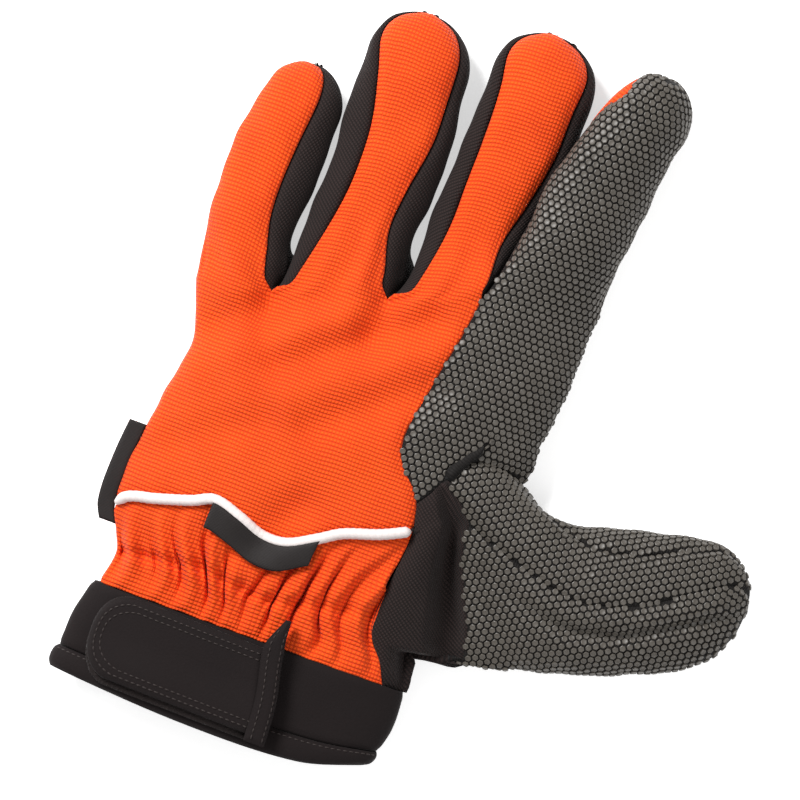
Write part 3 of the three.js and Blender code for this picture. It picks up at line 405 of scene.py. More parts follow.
    @classmethod
    def back_rows(cls, shares: Points, up: Points) -> Points:
        """Gives the back's rows from the piping (0) up to the knuckles (1)."""
        y = (cls.PIPING(shares) + cls.PIPING_HALF) * (1 - up[:, None]) + cls.KNUCKLES(shares) * up[:, None]
        return cls.back(shares[None, :], y)

    @classmethod
    def gather_rows(cls, shares: Points, up: Points) -> Points:
        """Gives the plain surface of the wrist, from the cuff (0) to the piping (1)."""
        return cls.back(shares[None, :], (cls.PIPING(shares) - cls.PIPING_HALF)[None, :] * up[:, None])

    @classmethod
    def palm_right(cls, y: Points) -> Points:
        """Gives the palm panel's right edge."""
        return cls.body_x(cls.PALM_EDGE(y), y, True)

    @classmethod
    def palm_lines(cls) -> tuple[Points, Points]:
        """Gives the palm's left and right edges, row for row, from the cuff to the knuckles."""
        low = np.linspace(0, 1, 8) * (cls.PIPING(0.0) - cls.PIPING_HALF)
        high = cls.PIPING(0.0) + cls.PIPING_HALF
        left_y = np.concatenate([low, np.linspace(high, cls.KNUCKLES(0.0), 10)])
        root_y, crotch = cls.root(0.0)[1], cls.root(1.0)[1]
        top = cls.KNUCKLES(1.0) + cls.POCKET
        right_y = np.concatenate([[0], np.linspace(root_y, crotch, 9), np.linspace(crotch, top, 9)[1:]])
        return cls.body(np.full(18, -cls.UNDER_TURN), left_y, True), cls.palm_right(right_y)

    @classmethod
    def palm_rows(cls, shares: Points, count: int) -> Points:
        """Gives the palm's rows from the cuff up to the roots of the fingers."""
        left, right = (resampled(line, count) for line in cls.palm_lines())
        place = np.minimum(1, shares / cls.PALM_CROTCHES[-2])
        top = cls.KNUCKLES(place) + cls.POCKET * np.minimum(1, shares / cls.PALM_CROTCHES[1])
        plan = left[:, None] * (1 - shares[:, None]) + right[:, None] * shares[:, None]
        lead = top - (left[-1, 1] * (1 - shares) + right[-1, 1] * shares)
        rise = smooth(np.linspace(0, 1, count + 1))[:, None]
        rows = cls.body_x(plan[..., 0], plan[..., 1] + lead * rise, True)
        rows[:, 0], rows[:, -1] = left, right
        return rows

    @classmethod
    def notched(cls, points: Points) -> Points:
        """Draws the hand's right edge in below the thumb's root, where the outline has a notch.

        Args:
            points: Points of the palm or the side panel.

        Returns:
            The points, moved to the left where they lie near that edge.
        """
        corner, root = cls.body(1.0, 0.0), cls.root(0.0)
        x, y = points[..., 0], points[..., 1]
        border = corner[0] + (root[0] - corner[0]) * y / root[1]
        line = np.interp(y, (0, cls.NOTCH[1], root[1]), (corner[0], cls.NOTCH[0], root[0]))
        nearness = smooth((x - cls.NOTCH_START) / np.maximum(border - cls.NOTCH_START, 1))
        moved = points.copy()
        moved[..., 0] -= np.where((y > 0) & (y < root[1]), border - line, 0) * nearness
        return moved

    @classmethod
    def gusset_rows(cls, count: int, across: int) -> Points:
        """Gives the black side panel with its fold, from the cuff up to the index finger's lobe."""
        low = cls.gather_rows(np.ones(1), np.linspace(0, 1, 8))[:, 0]
        high = cls.back_rows(np.ones(1), np.array((0, 1 / 9)))[:, 0]
        right = np.vstack([cls.body(1.0, 0.0)[None], cls.root(np.linspace(0, cls.ROOT_CORNER, 9))])
        rows = between(resampled(np.vstack([low, high]), count), resampled(right, count), across)
        up, share = np.linspace(0, 1, count + 1)[:, None], np.linspace(0, 1, across + 1)
        ridge = cls.GUSSET_RIDGE * np.sin(np.pi * np.clip(share / 0.75, 0, 1))
        recess = cls.GUSSET_RECESS * np.sin(np.pi * np.clip((share - 0.55) / 0.45, 0, 1))
        rows[..., 2] += (ridge - recess) * np.maximum(0, np.sin(np.pi * up)) ** 0.7
        return cls.notched(rows)


@dataclass
class Cloth:
    """A grid of points of a panel's outer face, with its cloth coordinates in millimetres."""

    points: Points
    uv: Points
    flip: bool = False

    @classmethod
    def cut(cls, points: Points, axis: Points, middle: int, along: int = 1,
            base: Points | None = None) -> "Cloth":
        """Lays cloth coordinates on a grid and turns its faces outwards.

        Args:
            points: The grid, rows by columns.
            axis: Points inside the glove, one for each row, that the faces turn away from.
            middle: The column that keeps its place across the cloth.
            along: The axis that the rows advance on, 1 for the hand and 0 for the thumb.
            base: Cloth coordinates of the first row, where it is sewn on or goes on from another grid.

        Returns:
            The grid with its coordinates.
        """
        across = 1 - along
        step = np.diff(points, axis=1)
        run = np.hypot(step[..., across], step[..., 2])
        u = np.concatenate([np.zeros((len(points), 1)), np.cumsum(run, 1)], 1)
        sign = np.sign((points[:, -1, across] - points[:, 0, across]).sum()) or 1
        u = points[:, middle, across][:, None] + sign * (u - u[:, middle][:, None])
        climb = np.diff(points, axis=0)
        rise = np.hypot(climb[..., along], climb[..., 2]) * np.sign(climb[..., along].sum() or 1)
        v = points[0, :, along][None] + np.concatenate([np.zeros((1, points.shape[1])), np.cumsum(rise, 0)],
                                                       0)
        uv = np.stack([u, v], -1)
        if base is not None:
            uv = uv + (base - uv[0])[None]
        normal = np.cross(points[:-1, 1:] - points[:-1, :-1], points[1:, :-1] - points[:-1, :-1])
        outward = (normal * (points[:-1, :-1] - np.reshape(axis, (-1, 1, 3))[: len(points) - 1])).sum()
        return cls(points, uv, bool(outward < 0))


def only(*pieces: bpy.types.Object) -> None:
    """Selects these objects alone, and makes the first one active."""
    if bpy.context.object and bpy.context.object.mode != "OBJECT":
        bpy.ops.object.mode_set(mode="OBJECT")
    bpy.ops.object.select_all(action="DESELECT")
    for piece in pieces:
        piece.select_set(True)
    bpy.context.view_layer.objects.active = pieces[0]


def coordinates(mesh: bpy.types.Mesh) -> Points:
    """Reads a mesh's points."""
    flat = np.zeros(len(mesh.vertices) * 3)
    mesh.vertices.foreach_get("co", flat)
    return flat.reshape(-1, 3)


def normals(mesh: bpy.types.Mesh) -> Points:
    """Reads a mesh's vertex normals."""
    flat = np.zeros(len(mesh.vertices) * 3)
    mesh.vertices.foreach_get("normal", flat)
    return flat.reshape(-1, 3)


def move(piece: bpy.types.Object, points: Points) -> None:
    """Writes a mesh's points."""
    piece.data.vertices.foreach_set("co", np.asarray(points, float).ravel())
    piece.data.update()


class Maker:
    """Turns grids of points into finished meshes in the frame's metres."""

    # The glove frame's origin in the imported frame: the hem and the thumb set the middle of the box
    SHIFT = np.array((-101.814, -89.978, 0))
    # The slow waves of soft cloth: radians for each millimetre along X, Y and Z, and the start
    WAVES = ((0.31, 0.17, 0.4, 0), (-0.19, 0.23, 0, 1.3), (0.41, 0.47, 0, 2.1))
    # A stitch's length as a share of the pitch, half the stretch that gives its direction, and its rise
    STITCH_SHARE, STITCH_REACH, STITCH_RISE = 0.78, 0.4, 0.25
    SMOOTH_ANGLE = math.radians(40)

    @classmethod
    def place(cls, points: Points) -> Points:
        """Turns millimetres of the glove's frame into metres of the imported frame."""
        return (np.asarray(points, float) + cls.SHIFT) * MM

    @classmethod
    def grid(cls, name: str, cloth: Cloth) -> bpy.types.Object:
        """Adds a grid and shapes it to a cloth."""
        rows, columns = cloth.points.shape[:2]
        turned = slice(None, None, -1 if cloth.flip else 1)
        bpy.ops.object.select_all(action="DESELECT")
        bpy.ops.mesh.primitive_grid_add(x_subdivisions=columns - 1, y_subdivisions=rows - 1, size=1)
        piece = bpy.context.object
        piece.name = piece.data.name = name
        move(piece, cls.place(cloth.points[:, turned].reshape(-1, 3)))
        corner = np.zeros(len(piece.data.loops), np.int64)
        piece.data.loops.foreach_get("vertex_index", corner)
        piece.data.uv_layers[0].data.foreach_set("uv",
                                                 (cloth.uv[:, turned].reshape(-1, 2)[corner] * MM).ravel())
        return piece

    @classmethod
    def join(cls, name: str, pieces: Sequence[bpy.types.Object], weld: float = 0.02) -> bpy.types.Object:
        """Joins pieces into one mesh and welds the points that meet."""
        only(*pieces)
        if len(pieces) > 1:
            bpy.ops.object.join()
        piece = bpy.context.object
        piece.name = piece.data.name = name
        if weld:
            bpy.ops.object.mode_set(mode="EDIT")
            bpy.ops.mesh.select_all(action="SELECT")
            bpy.ops.mesh.remove_doubles(threshold=weld * MM)
            bpy.ops.mesh.dissolve_degenerate(threshold=weld * MM / 10)
            bpy.ops.mesh.select_all(action="DESELECT")
            bpy.ops.object.mode_set(mode="OBJECT")
        return piece

    @classmethod
    def edge_distance(cls, mesh: bpy.types.Mesh) -> Points:
        """Gives each point's distance in millimetres from the panel's free edges."""
        count: dict[tuple[int, int], int] = {}
        for face in mesh.polygons:
            for key in face.edge_keys:
                count[key] = count.get(key, 0) + 1
        free = sorted({corner for key, uses in count.items() if uses == 1 for corner in key})
        tree = KDTree(len(free))
        points = coordinates(mesh)
        for number, corner in enumerate(free):
            tree.insert(points[corner], number)
        tree.balance()
        return np.array([tree.find(p)[2] for p in points]) / MM

    @classmethod
    def sew(cls, piece: bpy.types.Object, depth: float, width: float, softness: float = 0.25,
            tuck: float = 0) -> None:
        """Draws a panel's edges down into its seams and gives its face the softness of cloth.

        Args:
            piece: The panel, whose edge distance is kept as the attribute seam.
            depth: How deep the seam lies.
            width: How far the cloth curves down to it.
            softness: Height of the broad, slow waves of the face.
            tuck: How far the upper edge dips straight down, below the panel that is sewn over it.
        """
        away = cls.edge_distance(piece.data)
        seam = piece.data.attributes.new("seam", "FLOAT", "POINT")
        seam.data.foreach_set("value", away)
        points = coordinates(piece.data)
        x, y, z = (points / MM).T
        waves = sum(np.sin(a * x + b * y + c * z + start) for a, b, c, start in cls.WAVES) / len(cls.WAVES)
        lift = softness * waves * np.clip(away / width, 0, 1) - depth * bump(away, width)
        points = points + normals(piece.data) * lift[:, None] * MM
        upper = bump(away, width) * (z > z.mean())
        points[:, 2] -= tuck * upper * MM
        points[:, 2] = np.maximum(points[:, 2], 0)
        move(piece, points)

    @classmethod
    def apply(cls, piece: bpy.types.Object, kind: str, **settings: object) -> None:
        """Adds a modifier and applies it."""
        only(piece)
        modifier = piece.modifiers.new(kind.title(), kind)
        for name, value in settings.items():
            setattr(modifier, name, value)
        bpy.ops.object.modifier_apply(modifier=modifier.name)

    @classmethod
    def wall(cls, piece: bpy.types.Object, thickness: float) -> None:
        """Gives an open sheet its thickness, inwards from its outer face."""
        cls.apply(piece, "SOLIDIFY", thickness=thickness * MM, offset=-1, use_rim=True, use_even_offset=False)
        only(piece)
        bpy.ops.object.shade_smooth()

    @classmethod
    def copies(cls, name: str, model: bpy.types.Object, centres: Points, tangents: Points,
               ups: Points) -> bpy.types.Object:
        """Joins copies of one small model into a mesh.

        Args:
            name: The new piece's name.
            model: The model, which is made round its own origin in metres and is removed at the end.
            centres: Where the copies lie, in metres.
            tangents: The direction of each copy's X axis.
            ups: The direction of each copy's Z axis.

        Returns:
            The joined piece.
        """
        ups = ups / np.linalg.norm(ups, axis=1, keepdims=True)
        side = np.cross(ups, tangents)
        side /= np.linalg.norm(side, axis=1, keepdims=True)
        turn = np.stack([np.cross(side, ups), side, ups], 1)
        shape = coordinates(model.data)
        points = centres[:, None] + np.einsum("pk,nkj->npj", shape, turn)
        faces = [tuple(face.vertices) for face in model.data.polygons]
        shift = np.arange(len(centres)) * len(shape)
        mesh = bpy.data.meshes.new(name)
        mesh.from_pydata(points.reshape(-1, 3), [],
                         [tuple(c + s for c in face) for s in shift for face in faces])
        piece = bpy.data.objects.new(name, mesh)
        bpy.context.scene.collection.objects.link(piece)
        bpy.data.objects.remove(model)
        only(piece)
        bpy.ops.object.shade_smooth_by_angle(angle=cls.SMOOTH_ANGLE)
        return piece

    @classmethod
    def stitch_model(cls, length: float, thread: float) -> bpy.types.Object:
        """Models one stitch: a short thread whose ends dip into the cloth."""
        bpy.ops.object.select_all(action="DESELECT")
        bpy.ops.mesh.primitive_uv_sphere_add(segments=8, ring_count=6, radius=0.5)
        model = bpy.context.object
        shape = coordinates(model.data)[:, (2, 1, 0)] * (length * MM, thread * MM, thread * MM)
        shape[:, 2] -= thread * MM * (2 * shape[:, 0] / (length * MM)) ** 2 * 0.4
        move(model, shape)
        bpy.ops.object.mode_set(mode="EDIT")
        bpy.ops.mesh.select_all(action="SELECT")
        bpy.ops.mesh.normals_make_consistent(inside=False)
        bpy.ops.object.mode_set(mode="OBJECT")
        return model

    @classmethod
    def stitches(cls, name: str, lines: Sequence[Points], surface: bpy.types.Object, pitch: float,
                 thread: float = 0.5) -> bpy.types.Object:
        """Sews rows of stitches on a surface.

        Args:
            name: The new piece's name.
            lines: Lines of points in millimetres of the glove's frame.
            surface: The finished piece that the stitches lie on.
            pitch: Distance from stitch to stitch.
            thread: The thread's thickness.

        Returns:
            The stitches as one piece.
        """
        tree = BVHTree.FromPolygons(coordinates(surface.data).tolist(),
                                    [tuple(f.vertices) for f in surface.data.polygons])
        centres, tangents, ups = [], [], []
        for line in lines:
            place = cls.place(line)
            length = np.concatenate([[0], np.cumsum(np.linalg.norm(np.diff(place, axis=0), axis=1))])
            for at in np.arange(pitch / 2 * MM, length[-1], pitch * MM):
                reach = cls.STITCH_REACH * MM
                ends = [Vector([np.interp(at + e, length, column) for column in place.T])
                        for e in (-reach, reach)]
                hit = tree.find_nearest((ends[0] + ends[1]) / 2)
                centres.append(hit[0] + hit[1] * thread * MM * cls.STITCH_RISE)
                tangents.append(ends[1] - ends[0])
                ups.append(hit[1])
        model = cls.stitch_model(pitch * cls.STITCH_SHARE, thread)
        return cls.copies(name, model, np.array(centres), np.array(tangents), np.array(ups))


def spans(places: Sequence[float], count: int) -> Points:
    """Divides each stretch between two places into count steps."""
    parts = [np.linspace(a, b, count + 1)[:-1] for a, b in zip(places, places[1:])]
    return np.concatenate([*parts, [places[-1]]])


def level(points: Points, height: float) -> Points:
    """Gives the middle of each row of a grid, at a height inside the glove."""
    middle = points.mean(axis=1)
    middle[:, 2] = height
    return middle


def spine(shape: Stall, t: Points) -> Points:
    """Gives the middle line of a finger or thumb."""
    return (shape.at(0.0, t) + shape.at(math.pi, t)) / 2


@dataclass
class Hand:
    """The hand's cloth: the ribbed back, the palm, the black gussets and the index finger's fabric."""

    finger_columns: int = 28
    finger_rows: int = 84
    body_rows: int = 84
    palm_columns: int = 22
    wall: float = 1.3
    thin_wall: float = 0.6
    sliver_start: int = 10
    sliver_depth: float = 1.2
    gathers: float = 10.5
    gather_lift: float = 2.5
    pucker_lift: float = 0.8
    gather_lean: float = 0.9
    shirring: float = 0.42
    shirring_depth: float = 1.7

    def __post_init__(self) -> None:
        """Divides the fingers along their length, with rows closing up to the tip."""
        self.t = np.sin(np.linspace(0, 1, self.finger_rows + 1) * math.pi / 2) ** 1.15
        self.shares = spans(Pattern.CROTCHES, self.finger_columns)
        self.body = self.with_turn(Pattern.back_rows(self.shares, np.linspace(0, 1, self.body_rows + 1)))
        self.palm_shares = spans(Pattern.PALM_CROTCHES, self.palm_columns)
        self.palm = Pattern.notched(Pattern.palm_rows(self.palm_shares, self.body_rows + 30))

    @staticmethod
    def with_turn(rows: Points) -> Points:
        """Adds the cloth that turns under the hand at its left edge."""
        under = Pattern.body(np.full(len(rows), -Pattern.UNDER_TURN), rows[:, 0, 1], True)
        return np.concatenate([between(under, rows[:, 0], 3)[:, :-1], rows], 1)

    def finger(self, shape: Stall, start: Callable, end: Callable, base: Points, uv: Points | None = None,
               share: Points | None = None, skip: int = 0) -> Cloth:
        """Cuts one strip of a finger."""
        share = np.linspace(0, 1, len(base)) if share is None else share
        points = strip(shape, start, end, base, share, self.t)[skip:]
        return Cloth.cut(points, spine(shape, self.t[skip:]), len(base) // 2, 1, uv)

    def back_panel(self) -> bpy.types.Object:
        """Makes the ribbed back with its three stalls."""
        body = Cloth.cut(self.body, level(self.body, 5), 45)
        row, uv, n = self.body[-1], body.uv[-1], self.finger_columns
        cloths = [body]
        for k, shape in enumerate(Pattern.FINGERS):
            cut = slice(0 if k == 0 else 3 + k * n, 4 + (k + 1) * n)
            share = np.linspace(0, 1, n + 1)
            start = shape.seam(3)
            if k == 0:
                share = np.concatenate([np.linspace(0, 1 / 6, 4)[:-1], 1 / 6 + share * 5 / 6])
                start = fixed(math.pi + Pattern.PALM_ANGLE)
            cloths.append(self.finger(shape, start, shape.seam(4), row[cut], uv[cut], share))
        piece = Maker.join("back_panel", [Maker.grid("back", cloth) for cloth in cloths])
        Maker.sew(piece, 0.7, 2.2, 0.45)
        Maker.wall(piece, self.wall)
        return piece

    def index_back(self) -> bpy.types.Object:
        """Makes the sliver of ribbed cloth along the rolled index finger."""
        base = np.repeat(self.body[-1][-1:], 13, 0)
        cloth = self.finger(Pattern.INDEX, grip_seam, back_seam, base, skip=self.sliver_start)
        depth = self.sliver_depth * (1 - smooth((self.t[self.sliver_start:] - 0.6) / 0.14))
        inward = spine(Pattern.INDEX, self.t[self.sliver_start:])[:, None] - cloth.points
        cloth.points += depth[:, None, None] * inward / np.linalg.norm(inward, axis=2, keepdims=True)
        piece = Maker.join("index_back", [Maker.grid("sliver", cloth)])
        Maker.sew(piece, 0.75, 1.2, 0.1)
        Maker.wall(piece, self.wall)
        return piece

    def fourchette(self, k: int, name: str) -> bpy.types.Object:
        """Makes the black strips on both sides of a crotch, which meet in its bottom."""
        upper = self.body[-1][3 + k * self.finger_columns]
        lower = self.palm[-1][k * self.palm_columns]
        base = between(upper[None], lower[None], 14)[0]
        base[1:-1, 1] += 0.6 * np.sin(np.linspace(0, math.pi, 15))[1:-1]
        near = Pattern.FINGERS[k - 1]
        cloths = [self.finger(near, near.seam(4), fixed(-Pattern.PALM_ANGLE), base)]
        if k < len(Pattern.FINGERS):
            far = Pattern.FINGERS[k]
            cloths.append(self.finger(far, far.seam(3), fixed(math.pi + Pattern.PALM_ANGLE), base))
        else:
            cloths.append(self.finger(Pattern.INDEX, back_seam, fixed(Pattern.INDEX_GUSSET), base))
        piece = Maker.join(name, [Maker.grid("side", cloth) for cloth in cloths])
        Maker.sew(piece, 0.1, 1.6, 0.3, 1.3)
        Maker.wall(piece, self.thin_wall)
        return piece

    def palm_panel(self) -> bpy.types.Object:
        """Makes the palm with the undersides of the fingers."""
        body = Cloth.cut(self.palm, level(self.palm, 9), len(self.palm_shares) // 2)
        cloths = [body]
        for k, shape in enumerate([*Pattern.FINGERS, Pattern.INDEX]):
            cut = slice(k * self.palm_columns, (k + 1) * self.palm_columns + 1)
            start, end = fixed(Pattern.PALM_ANGLE - math.pi), fixed(-Pattern.PALM_ANGLE)
            if shape is Pattern.INDEX:
                start, end = fixed(Pattern.INDEX_GUSSET - 2 * math.pi), fixed(Pattern.INDEX_PALM)
            cloths.append(self.finger(shape, start, end, self.palm[-1][cut], body.uv[-1][cut]))
        piece = Maker.join("palm_panel", [Maker.grid("palm", cloth) for cloth in cloths])
        Maker.sew(piece, 0.5, 1.6, 0.1)
        return piece

    def lobe(self) -> Points:
        """Gives the rows of the index finger's lobe, from the gusset and the thumb up to the knuckle."""
        edge = np.vstack([Pattern.gusset_rows(72, 35)[-1],
                          Pattern.root(np.linspace(Pattern.ROOT_CORNER, 1, 21))[1:]])
        share = np.concatenate([np.linspace(0, 7 / 11, 36), np.linspace(7 / 11, 1, 21)[1:]])
        along = np.linspace(0, 1, self.body_rows + 1)
        left = Pattern.back_rows(np.ones(1), 1 / 9 + along * 8 / 9)[:, 0]
        y = edge[None, :, 1] * (1 - along[:, None]) + left[-1, 1] * along[:, None]
        free = Pattern.body_x(left[:, :1] * (1 - share) + Pattern.RIGHT(y) * share, y)
        own = point(edge[None, :, 0], y, edge[None, :, 2])
        ease = smooth(along * 3)[:, None, None]
        rows = own * (1 - ease) + free * ease
        rows[:, 0] = left
        crotch, top = Pattern.root(1.0)[1], Pattern.KNUCKLES(1.0) + Pattern.POCKET
        under = Pattern.palm_right(crotch * (1 - along) + top * along)
        return np.concatenate([rows, between(rows[:, -1], under, 8)[:, 1:]], 1)

    def index_grip(self) -> bpy.types.Object:
        """Makes the guard fabric of the index finger and its lobe."""
        rows = self.lobe()
        body = Cloth.cut(rows, level(rows, 5), 30)
        share = np.concatenate([np.linspace(0, 7, 36), np.linspace(7, 11, 21)[1:],
                                np.linspace(11, 13, 9)[1:]]) / 13
        tube = self.finger(Pattern.INDEX, grip_seam, fixed(Pattern.INDEX_PALM), rows[-1],
                           body.uv[-1], share)
        piece = Maker.join("index_grip", [Maker.grid("grip", cloth) for cloth in (body, tube)])
        Maker.sew(piece, 0.7, 1.8, 0.5)
        return piece

    def wrist_gather(self) -> bpy.types.Object:
        """Makes the cloth gathered on a shirring line between the cuff and the piping."""
        up = np.linspace(0, 1, 71)
        share = np.linspace(0, 1, 261)
        rows = Pattern.gather_rows(share, up)
        cloth = Cloth.cut(self.with_turn(rows), level(rows, 5), 130)
        x, s = share[None, :], up[:, None]
        lean = 0.02 + 0.16 * smooth((x - 0.35) / 0.6)
        place = x - lean * (s - self.shirring) + 0.012 * np.sin(9 * x + 1) + 0.008 * np.sin(31 * x)
        # Folds above and below the shirring line are offset, so that they meet on it in uneven points
        zigzag = 1.5 * np.tanh((s - self.shirring) / 0.16) * np.sin(7 * x + 0.6)
        phase = 2 * math.pi * self.gathers * place + zigzag + 0.9 * np.sin(13 * x + 4 * s)
        away = np.abs(s - self.shirring)
        broad = np.cos(phase) + 0.3 * np.cos(2 * phase + 5 * x)
        tight = np.cos(2 * phase + 1.2) + 0.5 * np.cos(3 * phase)
        reach = bump(away, np.where(s > self.shirring, 0.34, 0.3))
        uneven = 0.8 + 0.35 * np.sin(17 * x + 2.2) + 0.3 * x
        lift = self.gather_lift * broad * reach * uneven + self.pucker_lift * tight * bump(away, 0.1)
        lift = lift - self.shirring_depth * bump(away, 0.055)
        hem = np.minimum(1, s / 0.06) * np.minimum(1, (1 - s) / 0.12)
        edge = np.minimum(1, x / 0.02) * np.minimum(1, (1 - x) / 0.015)
        cloth.points[:, 3:, 2] += lift * hem * edge
        cloth.points[:, 3:, 0] += self.gather_lean * np.sin(phase) * reach * hem * edge
        piece = Maker.join("wrist_gather", [Maker.grid("gather", cloth)])
        Maker.sew(piece, 0.5, 1.2, 0.1)
        Maker.wall(piece, self.wall)
        return piece

    def thumb_gusset(self) -> bpy.types.Object:
        """Makes the black side panel with its fold."""
        rows = Pattern.gusset_rows(72, 35)
        body = Cloth.cut(rows, level(rows, 4), 17)
        edge = rows[:9, -1]
        under = Pattern.palm_right(np.linspace(0, Pattern.root(0.0)[1], 9))
        turn_rows = between(edge, Pattern.notched(under), 5)
        turn = Cloth.cut(turn_rows, level(turn_rows, 8) - (20, 0, 0), 0, 1)
        piece = Maker.join("thumb_gusset", [Maker.grid("gusset", cloth) for cloth in (body, turn)])
        Maker.sew(piece, 0.5, 1.6, 0.3)
        Maker.wall(piece, self.wall)
        return piece


@dataclass
class ThumbStall:
    """The thumb's four strips of guard fabric."""

    hand: Hand
    columns: int = 20

    def __post_init__(self) -> None:
        """Divides the thumb along its length."""
        self.t = np.sin(np.linspace(0, 1, 91) * math.pi / 2)

    def panel(self, name: str, *parts: tuple[Callable, Callable, Points]) -> bpy.types.Object:
        """Makes one strip from one or more stretches round the thumb."""
        grids = []
        for start, end, base in parts:
            points = strip(Pattern.THUMB, start, end, base, np.linspace(0, 1, len(base)), self.t)
            grids.append(points[:, 1:] if grids else points)
        points = np.concatenate(grids, 1)
        cloth = Cloth.cut(points, spine(Pattern.THUMB, self.t), points.shape[1] // 2, 0)
        piece = Maker.join(name, [Maker.grid("strip", cloth)])
        Maker.sew(piece, 0.75, 1.5, 0.4)
        return piece

    def panels(self) -> dict[str, bpy.types.Object]:
        """Makes the thumb's four strips."""
        top, centre = Pattern.THUMB.seam(3), Pattern.THUMB.seam(4)
        turn, n = Pattern.THUMB_TURN, self.columns
        low, high = Pattern.root(0.0), Pattern.root(1.0)
        edge = Pattern.palm_right(np.linspace(low[1], high[1], 9))
        root = Pattern.root
        return {
            "thumb_top_strip": self.panel("thumb_top_strip",
                (top, fixed(0), root(np.linspace(Pattern.ROOT_TOP, 1, 9))),
                (fixed(0), fixed(-turn), between(high[None], edge[-1:], 6)[0])),
            "thumb_front_panel": self.panel("thumb_front_panel",
                (centre, top, root(np.linspace(Pattern.ROOT_CENTRE, Pattern.ROOT_TOP, n + 1)))),
            "thumb_lower_panel": self.panel("thumb_lower_panel",
                (fixed(math.pi + turn), fixed(math.pi), between(edge[:1], low[None], 6)[0]),
                (fixed(math.pi), centre, root(np.linspace(0, Pattern.ROOT_CENTRE, n + 9)))),
            "thumb_palm_panel": self.panel("thumb_palm_panel",
                (fixed(-turn), fixed(turn - math.pi), resampled(edge, 2 * n)[::-1])),
        }


